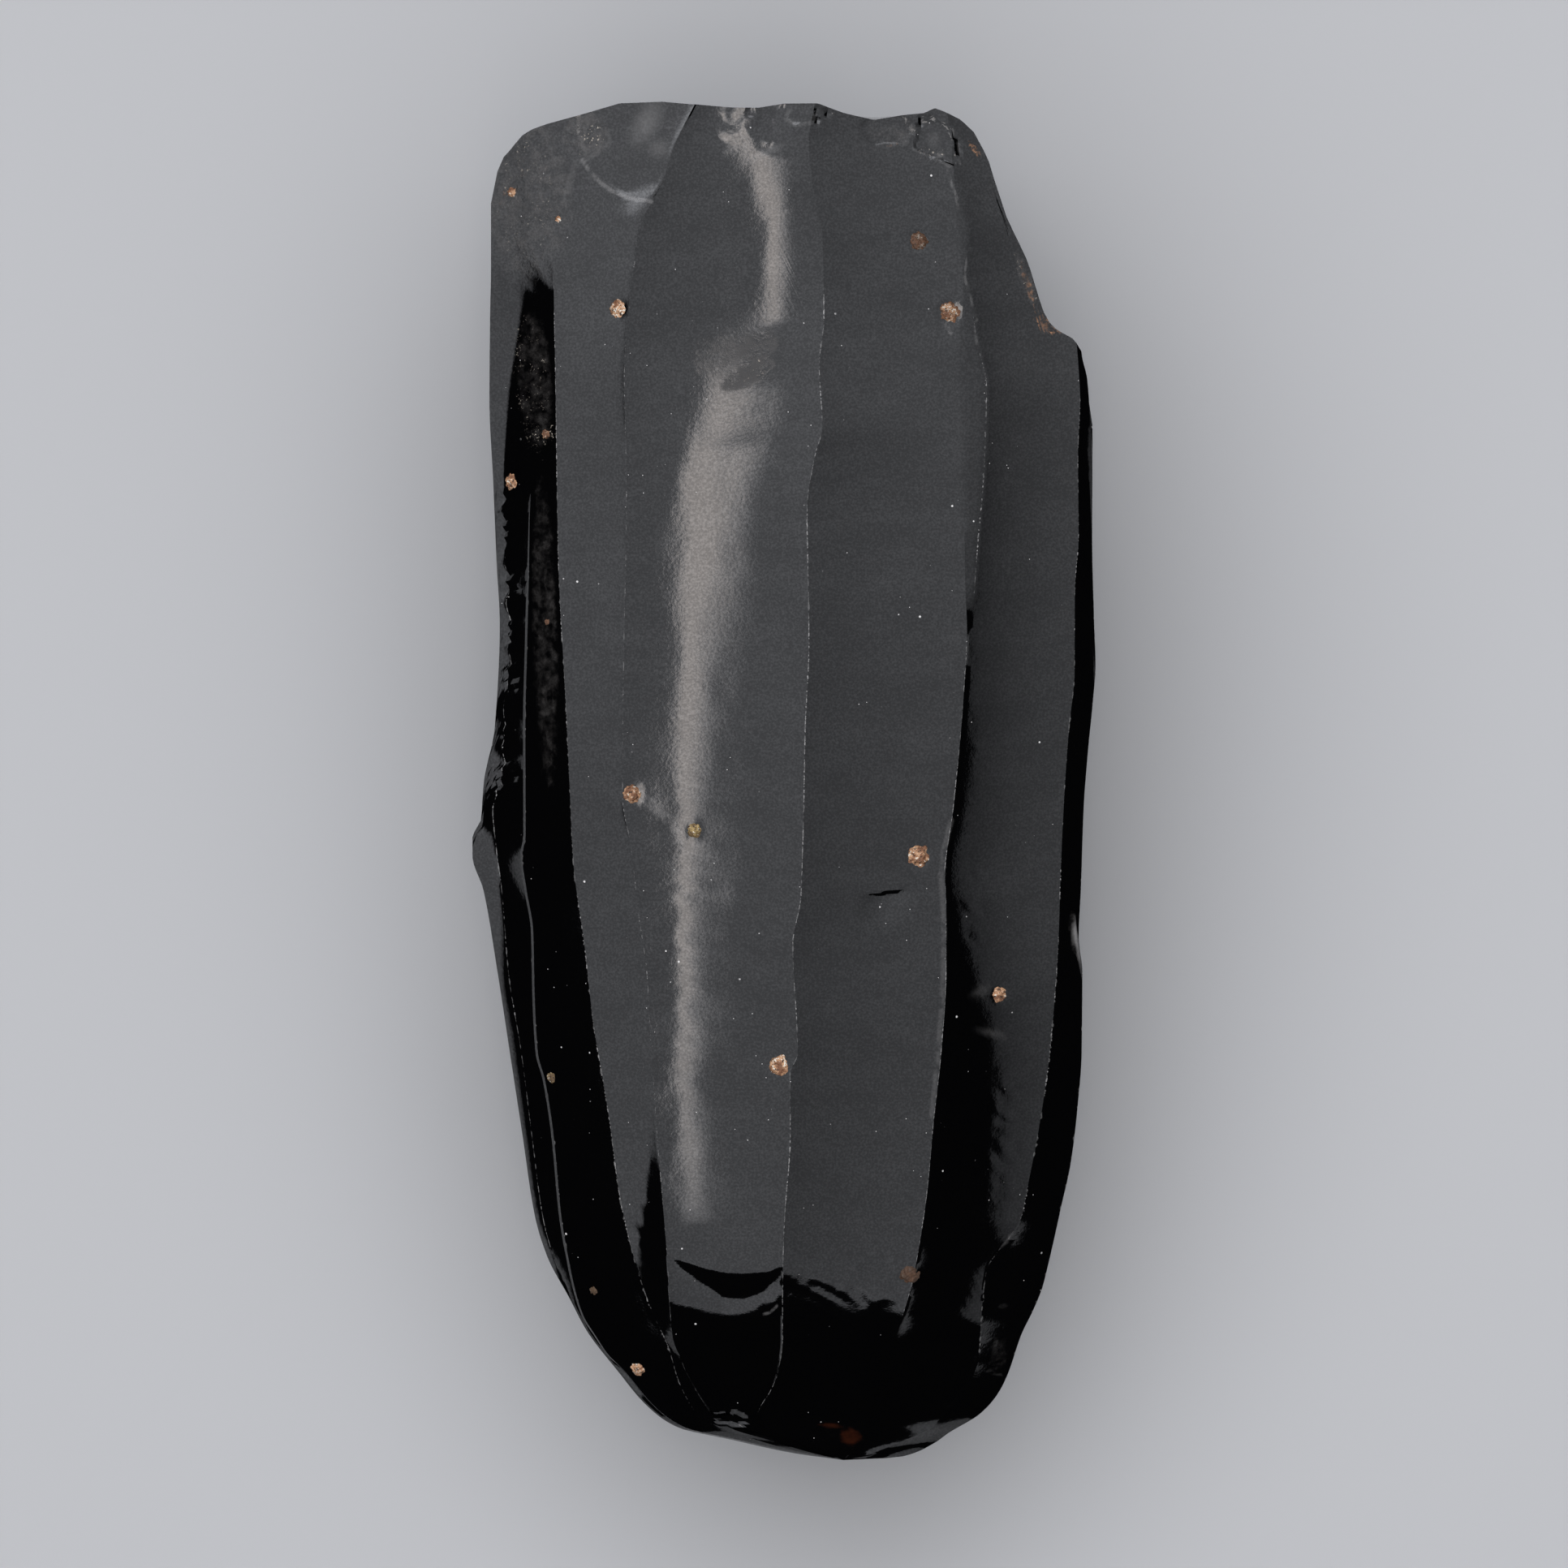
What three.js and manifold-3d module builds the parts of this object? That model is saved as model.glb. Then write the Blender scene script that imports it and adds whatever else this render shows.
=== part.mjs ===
// Obsidian blade core: a block of volcanic glass left after long blades were taken off its edge all round.
// It lies on a flat scar at its back. +X is to the right of the worked front, +Y runs from the tip up to
// the platform, +Z points out of the front. Millimetres, with the origin under the middle of the core.
import * as THREE from "three";
import { ParametricGeometry } from "three/addons/geometries/ParametricGeometry.js";
import { mergeVertices } from "three/addons/utils/BufferGeometryUtils.js";
import Module from "manifold-3d";

// Overall sizes of the stone
const CORE_LENGTH = 120;
const CORE_WIDTH = 55;
const CORE_DEPTH = 36;

// The platform is a flat face that leans back from its front edge. Places on it are in percent, as below.
const PLATFORM_LEAN_DEG = 10;
const PLATFORM_FRONT_UP = 97;
const PLATFORM_CENTRE_ACROSS = -8;
const PLATFORM_CENTRE_UP = 48;

// How far the breaks at the two upper corners run inwards for each millimetre further back
const CORNER_SWEEP = 0.25;

// Spherulites sit in sockets that follow them with this gap, and stand a little proud of the glass
const SOCKET_GAP = 0.3;
const SPHERULITE_PROUD_SHARE = 0.25;

// Fineness of the skin
const BODY_ROWS = 46;
const PLATFORM_ROWS = 2;
const ROW_CROWDING = 1.4;
const BALL_DETAIL = 1;
const FLAKE_DETAIL = 5;
const MERGE_DISTANCE = 1e-3;
const HALVINGS = 24;

// How far to either side of a place the skin is followed to find the way out of the stone there: a share
// of the scar's width, and percent of the length
const SIDEWAYS_STEP = 0.05;
const UPWARDS_STEP = 0.2;

// Every ridge meets the others at the tip: [share of the length from the tip, share of the half width
// to the right, share of the depth up], in percent. All ridges below are written the same way.
const TIP = [0, 19, 53.3];

// The ridges in order: over the front from left to right, then back across the underside. Each entry
// carries the scar between its own ridge and the next: how hollow the scar is, as a share of its width,
// and how many strips it has.
const RIDGES = [
  {
    name: "left_edge",
    hollow: 0.02,
    strips: 2,
    line: [
      TIP, [0.5, 3, 53.6], [1.5, -17, 55.5], [2.4, -34, 57.5], [3.9, -43.5, 59.1], [6.6, -53.5, 61],
      [9.6, -63.5, 63.1], [12, -69, 64.9], [15, -76, 66.2], [18, -80, 67.25], [24, -84, 69.4],
      [30, -88, 71], [36, -92, 72.1], [42, -96.5, 73], [44.5, -100, 73.2], [46, -100, 73.4],
      [46.8, -97.5, 74], [50, -96.3, 75.7], [54, -92.8, 77.6], [61.5, -91.2, 80.6], [66, -92.2, 80.6],
      [72, -93.3, 81.4], [78, -94.5, 82], [84, -94.3, 83.5], [88, -94, 84.6], [92, -94, 84.9],
      [100, -94, 84.9],
    ],
  },
  {
    name: "left_flank_line",
    hollow: 0.012,
    strips: 2,
    line: [
      TIP, [0.5, 3.5, 53.9], [1.5, -16.4, 55.9], [2.4, -33.3, 57.9], [3.9, -42.8, 59.5],
      [6.6, -52.8, 61.5], [9.6, -62.8, 63.6], [12, -68.2, 65.4], [15, -74, 66.9], [18, -77.5, 68.3],
      [24, -81, 70.7], [30, -84.3, 72.6], [36, -88.5, 73.6], [42, -90.6, 75], [45, -92.3, 75.7],
      [48, -93.5, 76.6], [50.3, -90.5, 78], [54, -89.8, 79], [60, -88, 81.5], [66, -89, 81.6],
      [70.5, -90, 82.1], [77.6, -88, 84.2], [83.6, -84.5, 86.4], [87, -82.5, 88.5], [90, -82, 88.9],
      [100, -82, 88.9],
    ],
  },
  {
    name: "left_bevel_line",
    hollow: 0,
    strips: 1,
    beside: "left_crest",
    shift: [-1.1, -1.4],
  },
  {
    name: "left_crest",
    hollow: 0.01,
    strips: 3,
    line: [
      TIP, [0.5, 5, 54.3], [1.5, -14.8, 56.6], [2.4, -31.7, 58.6], [3.9, -41.2, 60.2], [6.6, -51.2, 62.2],
      [7.8, -56.5, 63], [9, -60, 64], [10.7, -64.5, 65.4], [12.5, -67, 67.1], [15, -69.3, 69.5],
      [18, -71.5, 72.1], [24, -74, 75.2], [28, -76.7, 76.2], [30, -79, 76.5], [34, -80, 78.1],
      [39, -80.5, 80], [42, -82.6, 81], [44.5, -84, 81.8], [46, -82.9, 82.6], [54, -83, 84.2],
      [60, -82.4, 85.6], [66, -81.8, 86.9], [74, -81.3, 88], [78, -80, 88.9], [84, -78.5, 90],
      [88, -77.4, 90.5], [92, -76.8, 90.4], [100, -75, 90.4],
    ],
  },
  {
    name: "left_ridge",
    hollow: 0.024,
    strips: 3,
    line: [
      TIP, [0.5, 7, 54.7], [1.5, -9, 57.2], [2.8, -24, 60.4], [3.6, -28.5, 62.2], [4.8, -31.7, 64.8],
      [6, -34, 67.2], [8.4, -37.1, 72], [10.7, -41.7, 75.9], [13, -45.5, 79.3], [16, -49.3, 82.3],
      [20, -53, 85.2], [24, -55.3, 87.3], [28, -58, 88.6], [32, -61, 89.4], [38, -64, 90.6],
      [44, -67.5, 91.7], [50, -68.8, 92.6], [56, -70, 93], [66, -72.3, 93], [80, -73.3, 93],
      [87, -73.8, 92.2], [92, -72, 91.8], [96, -70, 91.8], [100, -67, 91.8],
    ],
  },
  {
    name: "middle_left_ridge",
    hollow: 0.028,
    strips: 6,
    line: [
      TIP, [0.5, 9.5, 54.9], [1.5, -5, 57.4], [2.3, -16.5, 59.6], [3, -21.5, 61.2], [4, -25, 63.4],
      [6.5, -31.4, 69], [7.7, -33.5, 71.6], [9, -35.6, 74.4], [12, -36.8, 80.9], [15, -37.5, 86.2],
      [18, -38.5, 89.3], [24, -40.7, 92], [32, -43, 94.5], [36, -44, 95.5], [40, -46.5, 96.3],
      [45, -49, 97.2], [49, -51.8, 97.7], [58, -51.5, 98.8], [71, -50.5, 99.8], [80, -51.2, 100],
      [84, -50, 100], [88, -48, 99.9], [91, -45.5, 99.6], [94, -39, 99], [96.5, -35.5, 98.5],
      [100, -28, 97.8],
    ],
  },
  {
    name: "middle_right_ridge",
    hollow: 0.025,
    strips: 5,
    line: [
      TIP, [0.7, 11, 55.3], [1.5, 3, 57.4], [2.5, -6, 60], [3, -9, 61.3], [4, -7.5, 63.8],
      [5, -4.7, 66.3], [6.5, -2, 69.9], [9, -0.5, 75.6], [12, -0.5, 82.3], [15, -0.3, 87.3],
      [18, 0.2, 90.6], [24, 2, 93.6], [28.5, 1.9, 95.3], [30, 4.4, 95.7], [38, 2.8, 97.3],
      [41.5, 5.4, 97.9], [48, 6.3, 98.7], [54, 6.8, 99.3], [60, 8, 99.6], [70, 7.4, 99.8],
      [74, 10, 99.5], [76, 12.3, 99.2], [80.5, 11.3, 98.4], [84, 12.8, 97.6], [90, 12.3, 97.3],
      [94, 9, 97.3], [97, 8, 97.2], [100, 10, 97],
    ],
  },
  {
    name: "right_ridge",
    hollow: 0,
    strips: 1,
    line: [
      TIP, [0.6, 21.5, 54.6], [1.5, 24, 56.4], [3.5, 27.5, 60.5], [5, 29.3, 63.6], [7, 33, 67.8],
      [9, 35.5, 72], [11, 38.5, 76.1], [13, 41, 79], [16, 43.5, 81.5], [20, 46, 83.5], [25, 48, 85.2],
      [30, 50.4, 86.5], [36, 52, 87.8], [41, 52, 88.8], [43, 51.6, 89.1], [48, 54.3, 89.8],
      [56, 57.5, 90.5], [61, 58.7, 91], [64, 58.2, 91.3], [76, 57.3, 91.7], [82, 56.5, 91.7],
      [86, 57.5, 91.5], [92, 55.5, 91.3], [100, 52, 90],
    ],
  },
  {
    name: "right_sliver_line",
    hollow: 0.035,
    strips: 5,
    line: [
      TIP, [0.6, 22.4, 54.4], [1.5, 25, 56], [3.5, 28.5, 60], [5, 30.2, 63.1], [7, 33.9, 67.3],
      [9, 36.4, 71.5], [11, 39.4, 75.6], [13, 41.9, 78.5], [16, 44.4, 81], [20, 46.9, 83],
      [25, 48.9, 84.7], [30, 51.3, 86], [36, 52.9, 87.3], [41, 52.9, 88.3], [43, 52.5, 88.6],
      [48, 55.2, 89.3], [56, 58.4, 90], [61.3, 59.6, 90.4], [64, 61, 90.4], [67, 62, 90.3],
      [73, 64.2, 90.1], [79, 65, 90.1], [82.4, 61.8, 90.6], [86, 59.6, 91], [87.5, 58.2, 91.2],
      [90, 58.8, 90.9], [93, 56.6, 90.8], [100, 53, 89.7],
    ],
  },
  {
    name: "right_edge_ridge",
    hollow: 0.012,
    strips: 2,
    line: [
      TIP, [0.5, 28, 53.6], [1.2, 36, 53.5], [2.5, 48, 53.5], [4, 55, 54.7], [5.5, 59.3, 56.6],
      [7.5, 62.5, 59.7], [11, 63.5, 65.5], [14, 65, 67.6], [15.5, 69, 67.3], [16.5, 72.5, 67.3],
      [18, 76.3, 67.4], [20.5, 78.5, 68.2], [24, 81.5, 69.1], [30, 85.3, 71.2], [38, 88, 75.4],
      [44, 88.9, 77.1], [50, 90.2, 78.2], [54, 91.5, 78.9], [58, 93.2, 79.5], [64, 93.3, 80.4],
      [68, 94.5, 80.8], [74, 94.3, 81.6], [78, 95, 82], [81, 94.3, 82.3], [85, 93, 82.6], [92, 93, 83],
      [100, 93, 83],
    ],
  },
  {
    name: "right_edge",
    hollow: 0.03,
    strips: 3,
    line: [
      TIP, [0.2, 37, 51.2], [1.2, 48, 49.3], [2, 53, 49.6], [3.4, 63, 50.4], [4.8, 68.5, 51.4],
      [6.2, 71.7, 52.3], [9.3, 76.4, 54.9], [11, 80, 55.4], [12.7, 83, 56], [14.5, 85, 57],
      [16.5, 87, 58.8], [18.6, 89, 60.3], [22, 92.2, 61.7], [26, 94.3, 63.2], [30, 95.6, 65.3],
      [36, 95.8, 70], [38.5, 94.6, 72], [42, 95.3, 73], [48, 96.2, 74.3], [52, 97.5, 74.8],
      [56, 99.2, 75.2], [58.5, 100, 75.5], [62, 99.5, 76.3], [68, 98.9, 78.2], [76, 99, 79.7],
      [79.5, 98, 80.4], [81.5, 95.8, 81.4], [85, 95, 81.8], [92, 95, 82.2], [100, 95, 82.2],
    ],
  },
  {
    name: "right_flank_ridge",
    hollow: 0.04,
    strips: 3,
    line: [
      TIP, [0.5, 31, 50], [1.5, 42, 46.5], [4, 56, 42], [8, 66, 38], [15, 76, 38.5], [30, 86, 42],
      [50, 90, 46], [75, 91, 49], [88, 89, 51], [100, 86, 52],
    ],
  },
  {
    name: "right_heel",
    hollow: 0.04,
    strips: 4,
    line: [
      TIP, [0.5, 27, 48], [1.5, 34, 43], [4, 43, 36.5], [8, 51, 30], [15, 58, 26], [30, 66, 23],
      [50, 70, 22], [75, 71, 22], [88, 69, 23], [100, 66, 25],
    ],
  },
  {
    name: "rest_face_right",
    hollow: 0,
    strips: 4,
    line: [
      TIP, [0.5, 22, 45], [1.5, 26, 39], [4, 30, 29], [8, 33, 16], [12, 35, 6.5], [15, 36, 2],
      [18, 37, 0], [60, 39, 0], [93, 37, 0], [100, 36, 0],
    ],
  },
  {
    name: "rest_face_left",
    hollow: 0.04,
    strips: 4,
    line: [
      TIP, [0.5, 14, 45], [1.5, 8, 39], [4, -2, 29], [8, -11, 16], [12, -18, 6.5], [15, -22, 2],
      [18, -25, 0], [40, -36, 0], [70, -41, 0], [93, -41, 0], [100, -40, 0],
    ],
  },
  {
    name: "left_heel",
    hollow: 0.04,
    strips: 3,
    line: [
      TIP, [0.5, 9, 48], [1.5, -7, 44.5], [4, -26, 38.5], [8, -40, 32], [15, -54, 27], [30, -66, 23],
      [50, -75, 22], [75, -79, 23], [90, -79, 25], [100, -77, 27],
    ],
  },
  {
    name: "left_flank_ridge",
    hollow: 0.03,
    strips: 3,
    line: [
      TIP, [0.5, 6, 51], [1.5, -12, 49.5], [4, -36, 46.5], [8, -53, 43.5], [15, -70, 43], [30, -82, 43.5],
      [50, -87, 46], [75, -88, 51], [90, -87, 53], [100, -86, 54],
    ],
  },
];
const FRONT_SCARS = 10;

// The breaks at the two upper corners: the outline of each from the platform outwards and down, as [share
// of the half width to the right, share of the length], and the share of the depth up where it lies
const CORNERS = [
  {
    up: 85,
    outline: [
      [-36, 101], [-43, 100], [-50, 99.8], [-64, 98.9], [-74.3, 98.3], [-79.5, 97.9], [-83.4, 97.4],
      [-86.8, 96.5], [-89.9, 95.8], [-92.2, 94.6], [-93.8, 92.7], [-95, 91.5], [-101, 88],
    ],
  },
  {
    up: 85.5,
    outline: [
      [41, 101], [45, 99.6], [50, 99.2], [55.6, 98.6], [60, 97.7], [64.7, 95.8], [67.3, 93.9],
      [71.2, 91.3], [75.8, 89.3], [78.4, 88.1], [81, 86.3], [83.4, 84.6], [86.5, 83.4], [90.6, 82.9],
      [94, 82.5], [97, 81.5], [99, 79], [101, 76],
    ],
  },
];

// Flakes trimmed off the platform and off the front just below it: place in percent, width and depth in
// millimetres
const PLATFORM_FLAKES = [
  { across: -13, width: 7.5, depth: 0.7 },
  { across: 29, width: 9, depth: 1.6 },
];
const FRONT_FLAKES = [
  { across: -46, along: 96.8, width: 6.6, depth: 0.45 },
  { across: -64, along: 97.4, width: 3.8, depth: 0.35 },
  { across: 10.5, along: 99.2, width: 2.4, depth: 0.6 },
  { across: 27, along: 98.6, width: 5.2, depth: 0.5 },
  { across: 49, along: 97.2, width: 4.2, depth: 0.8 },
];

// The balls of crystal: place in percent, diameter in millimetres, amber where the glass half covers them
const SPHERULITES = [
  { name: "upper_left", across: -53.5, along: 84.7, size: 2 },
  { name: "upper_right", across: 43.4, along: 89.7, size: 2 },
  { name: "right_ridge", across: 53, along: 84.5, size: 2.3 },
  { name: "left_edge", across: -87.3, along: 72, size: 1.9 },
  { name: "middle_left", across: -48.8, along: 49.1, size: 2.1 },
  { name: "middle_amber", across: -28.8, along: 46.4, size: 1.5, amber: true },
  { name: "middle_right", across: 43.4, along: 44.5, size: 2.4 },
  { name: "right_scar", across: 69.9, along: 34.3, size: 1.7 },
  { name: "lower_ridge", across: -1.8, along: 29.1, size: 2.2 },
  { name: "lower_amber", across: -74.8, along: 28.2, size: 1.2, amber: true },
  { name: "lower_right", across: 40, along: 13.7, size: 2 },
  { name: "tip_left", across: -47, along: 6.7, size: 1.6 },
  { name: "left_corner", across: -87.5, along: 93.3, size: 1.1 },
  { name: "left_shoulder", across: -72.5, along: 91.3, size: 0.7 },
  { name: "left_scar", across: -76.1, along: 61.7, size: 0.7 },
  { name: "left_grains", across: -76.4, along: 75.5, size: 1.1 },
  { name: "tip_faint", across: -61.3, along: 12.5, size: 1, amber: true },
  { name: "back_1", across: 55, along: 72, size: 1.8, back: true },
  { name: "back_2", across: 84, along: 48, size: 1.6, back: true },
  { name: "back_3", across: -60, along: 33, size: 2, back: true },
  { name: "back_4", across: -88, along: 80, size: 1.5, back: true },
  { name: "back_5", across: -57, along: 62, size: 1.3, back: true },
];

const glassMaterial = new THREE.MeshStandardMaterial({ color: 0x0b0b0d, roughness: 0.08, metalness: 0 });
const crystalMaterial = new THREE.MeshStandardMaterial({ color: 0xb98a70, roughness: 0.9, metalness: 0 });
const amberMaterial = new THREE.MeshStandardMaterial({ color: 0x8f7648, roughness: 0.6, metalness: 0 });

const wasm = await Module();
wasm.setup();

const acrossAt = (share) => (share / 100) * (CORE_WIDTH / 2);
const lengthAt = (share) => (share / 100 - 0.5) * CORE_LENGTH;
const depthAt = (share) => (share / 100) * CORE_DEPTH;

const platformLean = THREE.MathUtils.degToRad(PLATFORM_LEAN_DEG);
const platformNormal = new THREE.Vector3(0, Math.cos(platformLean), -Math.sin(platformLean));
const platformHeight = (z) => lengthAt(100) - Math.tan(platformLean) * (depthAt(PLATFORM_FRONT_UP) - z);

// Value number `column` of a hand-drawn line at the place `at`, on a cubic that never overshoots
function along(line, at, column) {
  const last = line.length - 1;
  if (at <= line[0][0]) return line[0][column];
  if (at >= line[last][0]) return line[last][column];
  let k = 0;
  while (line[k + 1][0] < at) k += 1;
  const slope = (i) => (line[i + 1][column] - line[i][column]) / (line[i + 1][0] - line[i][0]);
  const tangent = (i) => {
    if (i === 0) return slope(0);
    if (i === last) return slope(last - 1);
    const before = slope(i - 1);
    const after = slope(i);
    return before * after <= 0 ? 0 : (2 * before * after) / (before + after);
  };
  const step = line[k + 1][0] - line[k][0];
  const t = (at - line[k][0]) / step;
  const rise = line[k + 1][column] - line[k][column];
  const bend = (1 - t) * tangent(k) - t * tangent(k + 1) + (2 * t - 1) * (rise / step);
  return line[k][column] + rise * t + t * (1 - t) * step * bend;
}

// The shares of the length from the tip over which the bevel beside the left crest grows to its full width,
// and the hollows of the scars to their full depth
const BEVEL_GROWS = 14;
const HOLLOW_GROWS = 16;

// Where ridge number i stands at a share of the length: x and z in millimetres
function ridgePoint(i, share) {
  const ridge = RIDGES[i % RIDGES.length];
  const main = ridge.beside ? RIDGES.find((other) => other.name === ridge.beside) : ridge;
  const [aside, lower] = ridge.shift ?? [0, 0];
  const fade = Math.min(1, share / BEVEL_GROWS);
  return new THREE.Vector2(
    acrossAt(along(main.line, share, 1) + aside * fade),
    depthAt(along(main.line, share, 2) + lower * fade),
  );
}

// A point on scar number i, `t` of the way across it: the straight line between its two ridges, sunk
// into the stone by a parabola that flattens towards the tip
function scarPoint(i, t, share) {
  const from = ridgePoint(i, share);
  const to = ridgePoint(i + 1, share);
  const chord = to.clone().sub(from);
  const sink = RIDGES[i].hollow * 4 * t * (1 - t) * Math.min(1, share / HOLLOW_GROWS);
  return new THREE.Vector2(
    from.x + chord.x * t + chord.y * sink,
    from.y + chord.y * t - chord.x * sink,
  );
}

// The share of the length at which a scar reaches the platform, found by halving
function topShare(i, t) {
  let low = 0;
  let high = 100;
  for (let step = 0; step < HALVINGS; step += 1) {
    const middle = (low + high) / 2;
    if (lengthAt(middle) < platformHeight(scarPoint(i, t, middle).y)) low = middle;
    else high = middle;
  }
  return low;
}

const STRIPS = RIDGES.reduce((sum, ridge) => sum + ridge.strips, 0);

// The scar that holds strip place `c`, and how far across it that is
function scarOfStrip(c) {
  let start = 0;
  let i = 0;
  while (i < RIDGES.length - 1 && c > start + RIDGES[i].strips) {
    start += RIDGES[i].strips;
    i += 1;
  }
  return [i, Math.min(1, (c - start) / RIDGES[i].strips)];
}

// The skin of the core: u goes round it, v from the tip up the scars and over the platform to its middle
function skin(u, v, target) {
  const [i, t] = scarOfStrip(u * STRIPS);
  const top = topShare(i, t);
  const bodyEnd = BODY_ROWS / (BODY_ROWS + PLATFORM_ROWS);
  if (v <= bodyEnd) {
    const share = top * Math.pow(v / bodyEnd, ROW_CROWDING);
    const place = scarPoint(i, t, share);
    target.set(place.x, lengthAt(share), place.y);
    return;
  }
  const inward = (v - bodyEnd) / (1 - bodyEnd);
  const centre = new THREE.Vector2(acrossAt(PLATFORM_CENTRE_ACROSS), depthAt(PLATFORM_CENTRE_UP));
  const place = scarPoint(i, t, top).lerp(centre, inward);
  target.set(place.x, platformHeight(place.y), place.y);
}

// A closed solid from a geometry, with its doubled vertices merged and its collapsed faces left out
function solidFrom(geometry) {
  const bare = new THREE.BufferGeometry();
  bare.setAttribute("position", geometry.getAttribute("position"));
  if (geometry.index) bare.setIndex(geometry.index);
  const merged = mergeVertices(bare, MERGE_DISTANCE);
  const corners = Array.from(merged.index.array);
  const kept = [];
  for (let k = 0; k < corners.length; k += 3) {
    const [a, b, c] = corners.slice(k, k + 3);
    if (a !== b && b !== c && c !== a) kept.push(a, b, c);
  }
  const mesh = new wasm.Mesh({
    numProp: 3,
    vertProperties: new Float32Array(merged.attributes.position.array),
    triVerts: new Uint32Array(kept),
  });
  return new wasm.Manifold(mesh);
}

function meshFrom(solid, name, material) {
  const made = solid.getMesh();
  const geometry = new THREE.BufferGeometry();
  geometry.setAttribute("position", new THREE.BufferAttribute(made.vertProperties, made.numProp));
  geometry.setIndex(new THREE.BufferAttribute(made.triVerts, 1));
  geometry.computeVertexNormals();
  const mesh = new THREE.Mesh(geometry, material);
  mesh.name = name;
  return mesh;
}

// The scar that holds a place given in percent, on the front or on the back, and how far across it that is
function scarAt({ across, along: share, back }) {
  const first = back ? FRONT_SCARS : 0;
  const last = back ? RIDGES.length : FRONT_SCARS;
  const x = acrossAt(across);
  for (let i = first; i < last; i += 1) {
    const from = ridgePoint(i, share).x;
    const to = ridgePoint(i + 1, share).x;
    const t = (x - from) / (to - from);
    if (t >= 0 && t <= 1) return [i, t];
  }
  throw new Error("no scar holds the place " + across + ", " + share);
}

// The point of the skin at such a place, and the way out of the stone there
function seat(spot) {
  const [i, t] = scarAt(spot);
  const point = (aside, further) => {
    const place = scarPoint(i, THREE.MathUtils.clamp(t + aside, 0, 1), spot.along + further);
    return new THREE.Vector3(place.x, lengthAt(spot.along + further), place.y);
  };
  const sideways = point(SIDEWAYS_STEP, 0).sub(point(-SIDEWAYS_STEP, 0));
  const upwards = point(0, UPWARDS_STEP).sub(point(0, -UPWARDS_STEP));
  return { middle: point(0, 0), outward: sideways.cross(upwards).normalize() };
}

// A ball with its middle below the skin, so that SPHERULITE_PROUD_SHARE of its radius stands proud
function ballAt(spot, radius) {
  const { middle, outward } = seat(spot);
  const depth = (spot.size / 2) * (1 - SPHERULITE_PROUD_SHARE);
  const ball = new THREE.IcosahedronGeometry(radius, BALL_DETAIL);
  const centre = middle.addScaledVector(outward, -depth);
  return solidFrom(ball.translate(centre.x, centre.y, centre.z));
}

const spherulite = (spot) => ballAt(spot, spot.size / 2);
const socket = (spot) => ballAt(spot, spot.size / 2 + SOCKET_GAP);

// The hollow that a trimmed flake leaves: a large ball that dips into the stone by the flake's depth
function flakeHollow({ width, depth }, { middle, outward }) {
  const radius = ((width / 2) ** 2 + depth ** 2) / (2 * depth);
  const centre = middle.addScaledVector(outward, radius - depth);
  const ball = new THREE.IcosahedronGeometry(radius, FLAKE_DETAIL);
  return solidFrom(ball.translate(centre.x, centre.y, centre.z));
}

// The front edge of the platform at a place across the core, with the way out of the platform
function platformEdge({ across }) {
  const { middle } = seat({ across, along: 100 });
  middle.y = platformHeight(middle.z);
  return { middle, outward: platformNormal };
}

// What broke off an upper corner: everything beyond its outline, which runs further inwards with depth
function cornerBreak({ up, outline }) {
  const points = outline.map(([across, share]) => new THREE.Vector2(acrossAt(across), lengthAt(share)));
  const start = points[0];
  const end = points[points.length - 1];
  const side = Math.sign(end.x);
  const beyond = new THREE.Shape(points);
  beyond.lineTo(side * CORE_WIDTH, end.y);
  beyond.lineTo(side * CORE_WIDTH, CORE_LENGTH);
  beyond.lineTo(start.x, CORE_LENGTH);
  const block = new THREE.ExtrudeGeometry(beyond, { depth: 2 * CORE_DEPTH, bevelEnabled: false });
  block.translate(0, 0, -CORE_DEPTH / 2);
  const place = block.getAttribute("position");
  for (let k = 0; k < place.count; k += 1) {
    place.setX(k, place.getX(k) - side * CORNER_SWEEP * (depthAt(up) - place.getZ(k)));
  }
  return solidFrom(block);
}

function coreBody() {
  const shape = new ParametricGeometry(skin, STRIPS, BODY_ROWS + PLATFORM_ROWS);
  let solid = solidFrom(shape);
  for (const corner of CORNERS) solid = solid.subtract(cornerBreak(corner));
  for (const flake of PLATFORM_FLAKES) solid = solid.subtract(flakeHollow(flake, platformEdge(flake)));
  for (const flake of FRONT_FLAKES) solid = solid.subtract(flakeHollow(flake, seat(flake)));
  for (const spot of SPHERULITES) solid = solid.subtract(socket(spot));
  return meshFrom(solid, "core_body", glassMaterial);
}

const core = new THREE.Group();
core.add(coreBody());
for (const spot of SPHERULITES) {
  const material = spot.amber ? amberMaterial : crystalMaterial;
  core.add(meshFrom(spherulite(spot), "spherulite_" + spot.name, material));
}

export default core;
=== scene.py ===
"""The looks of an obsidian blade core: one knapped stone, and the balls of crystal grown into it.

It lies on its back on a pale floor, under one wide soft light, and the camera looks straight down on the
front, as in the photograph. +X is right, +Y runs from the tip to the platform, +Z is up. Metres.
"""
import math

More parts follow.
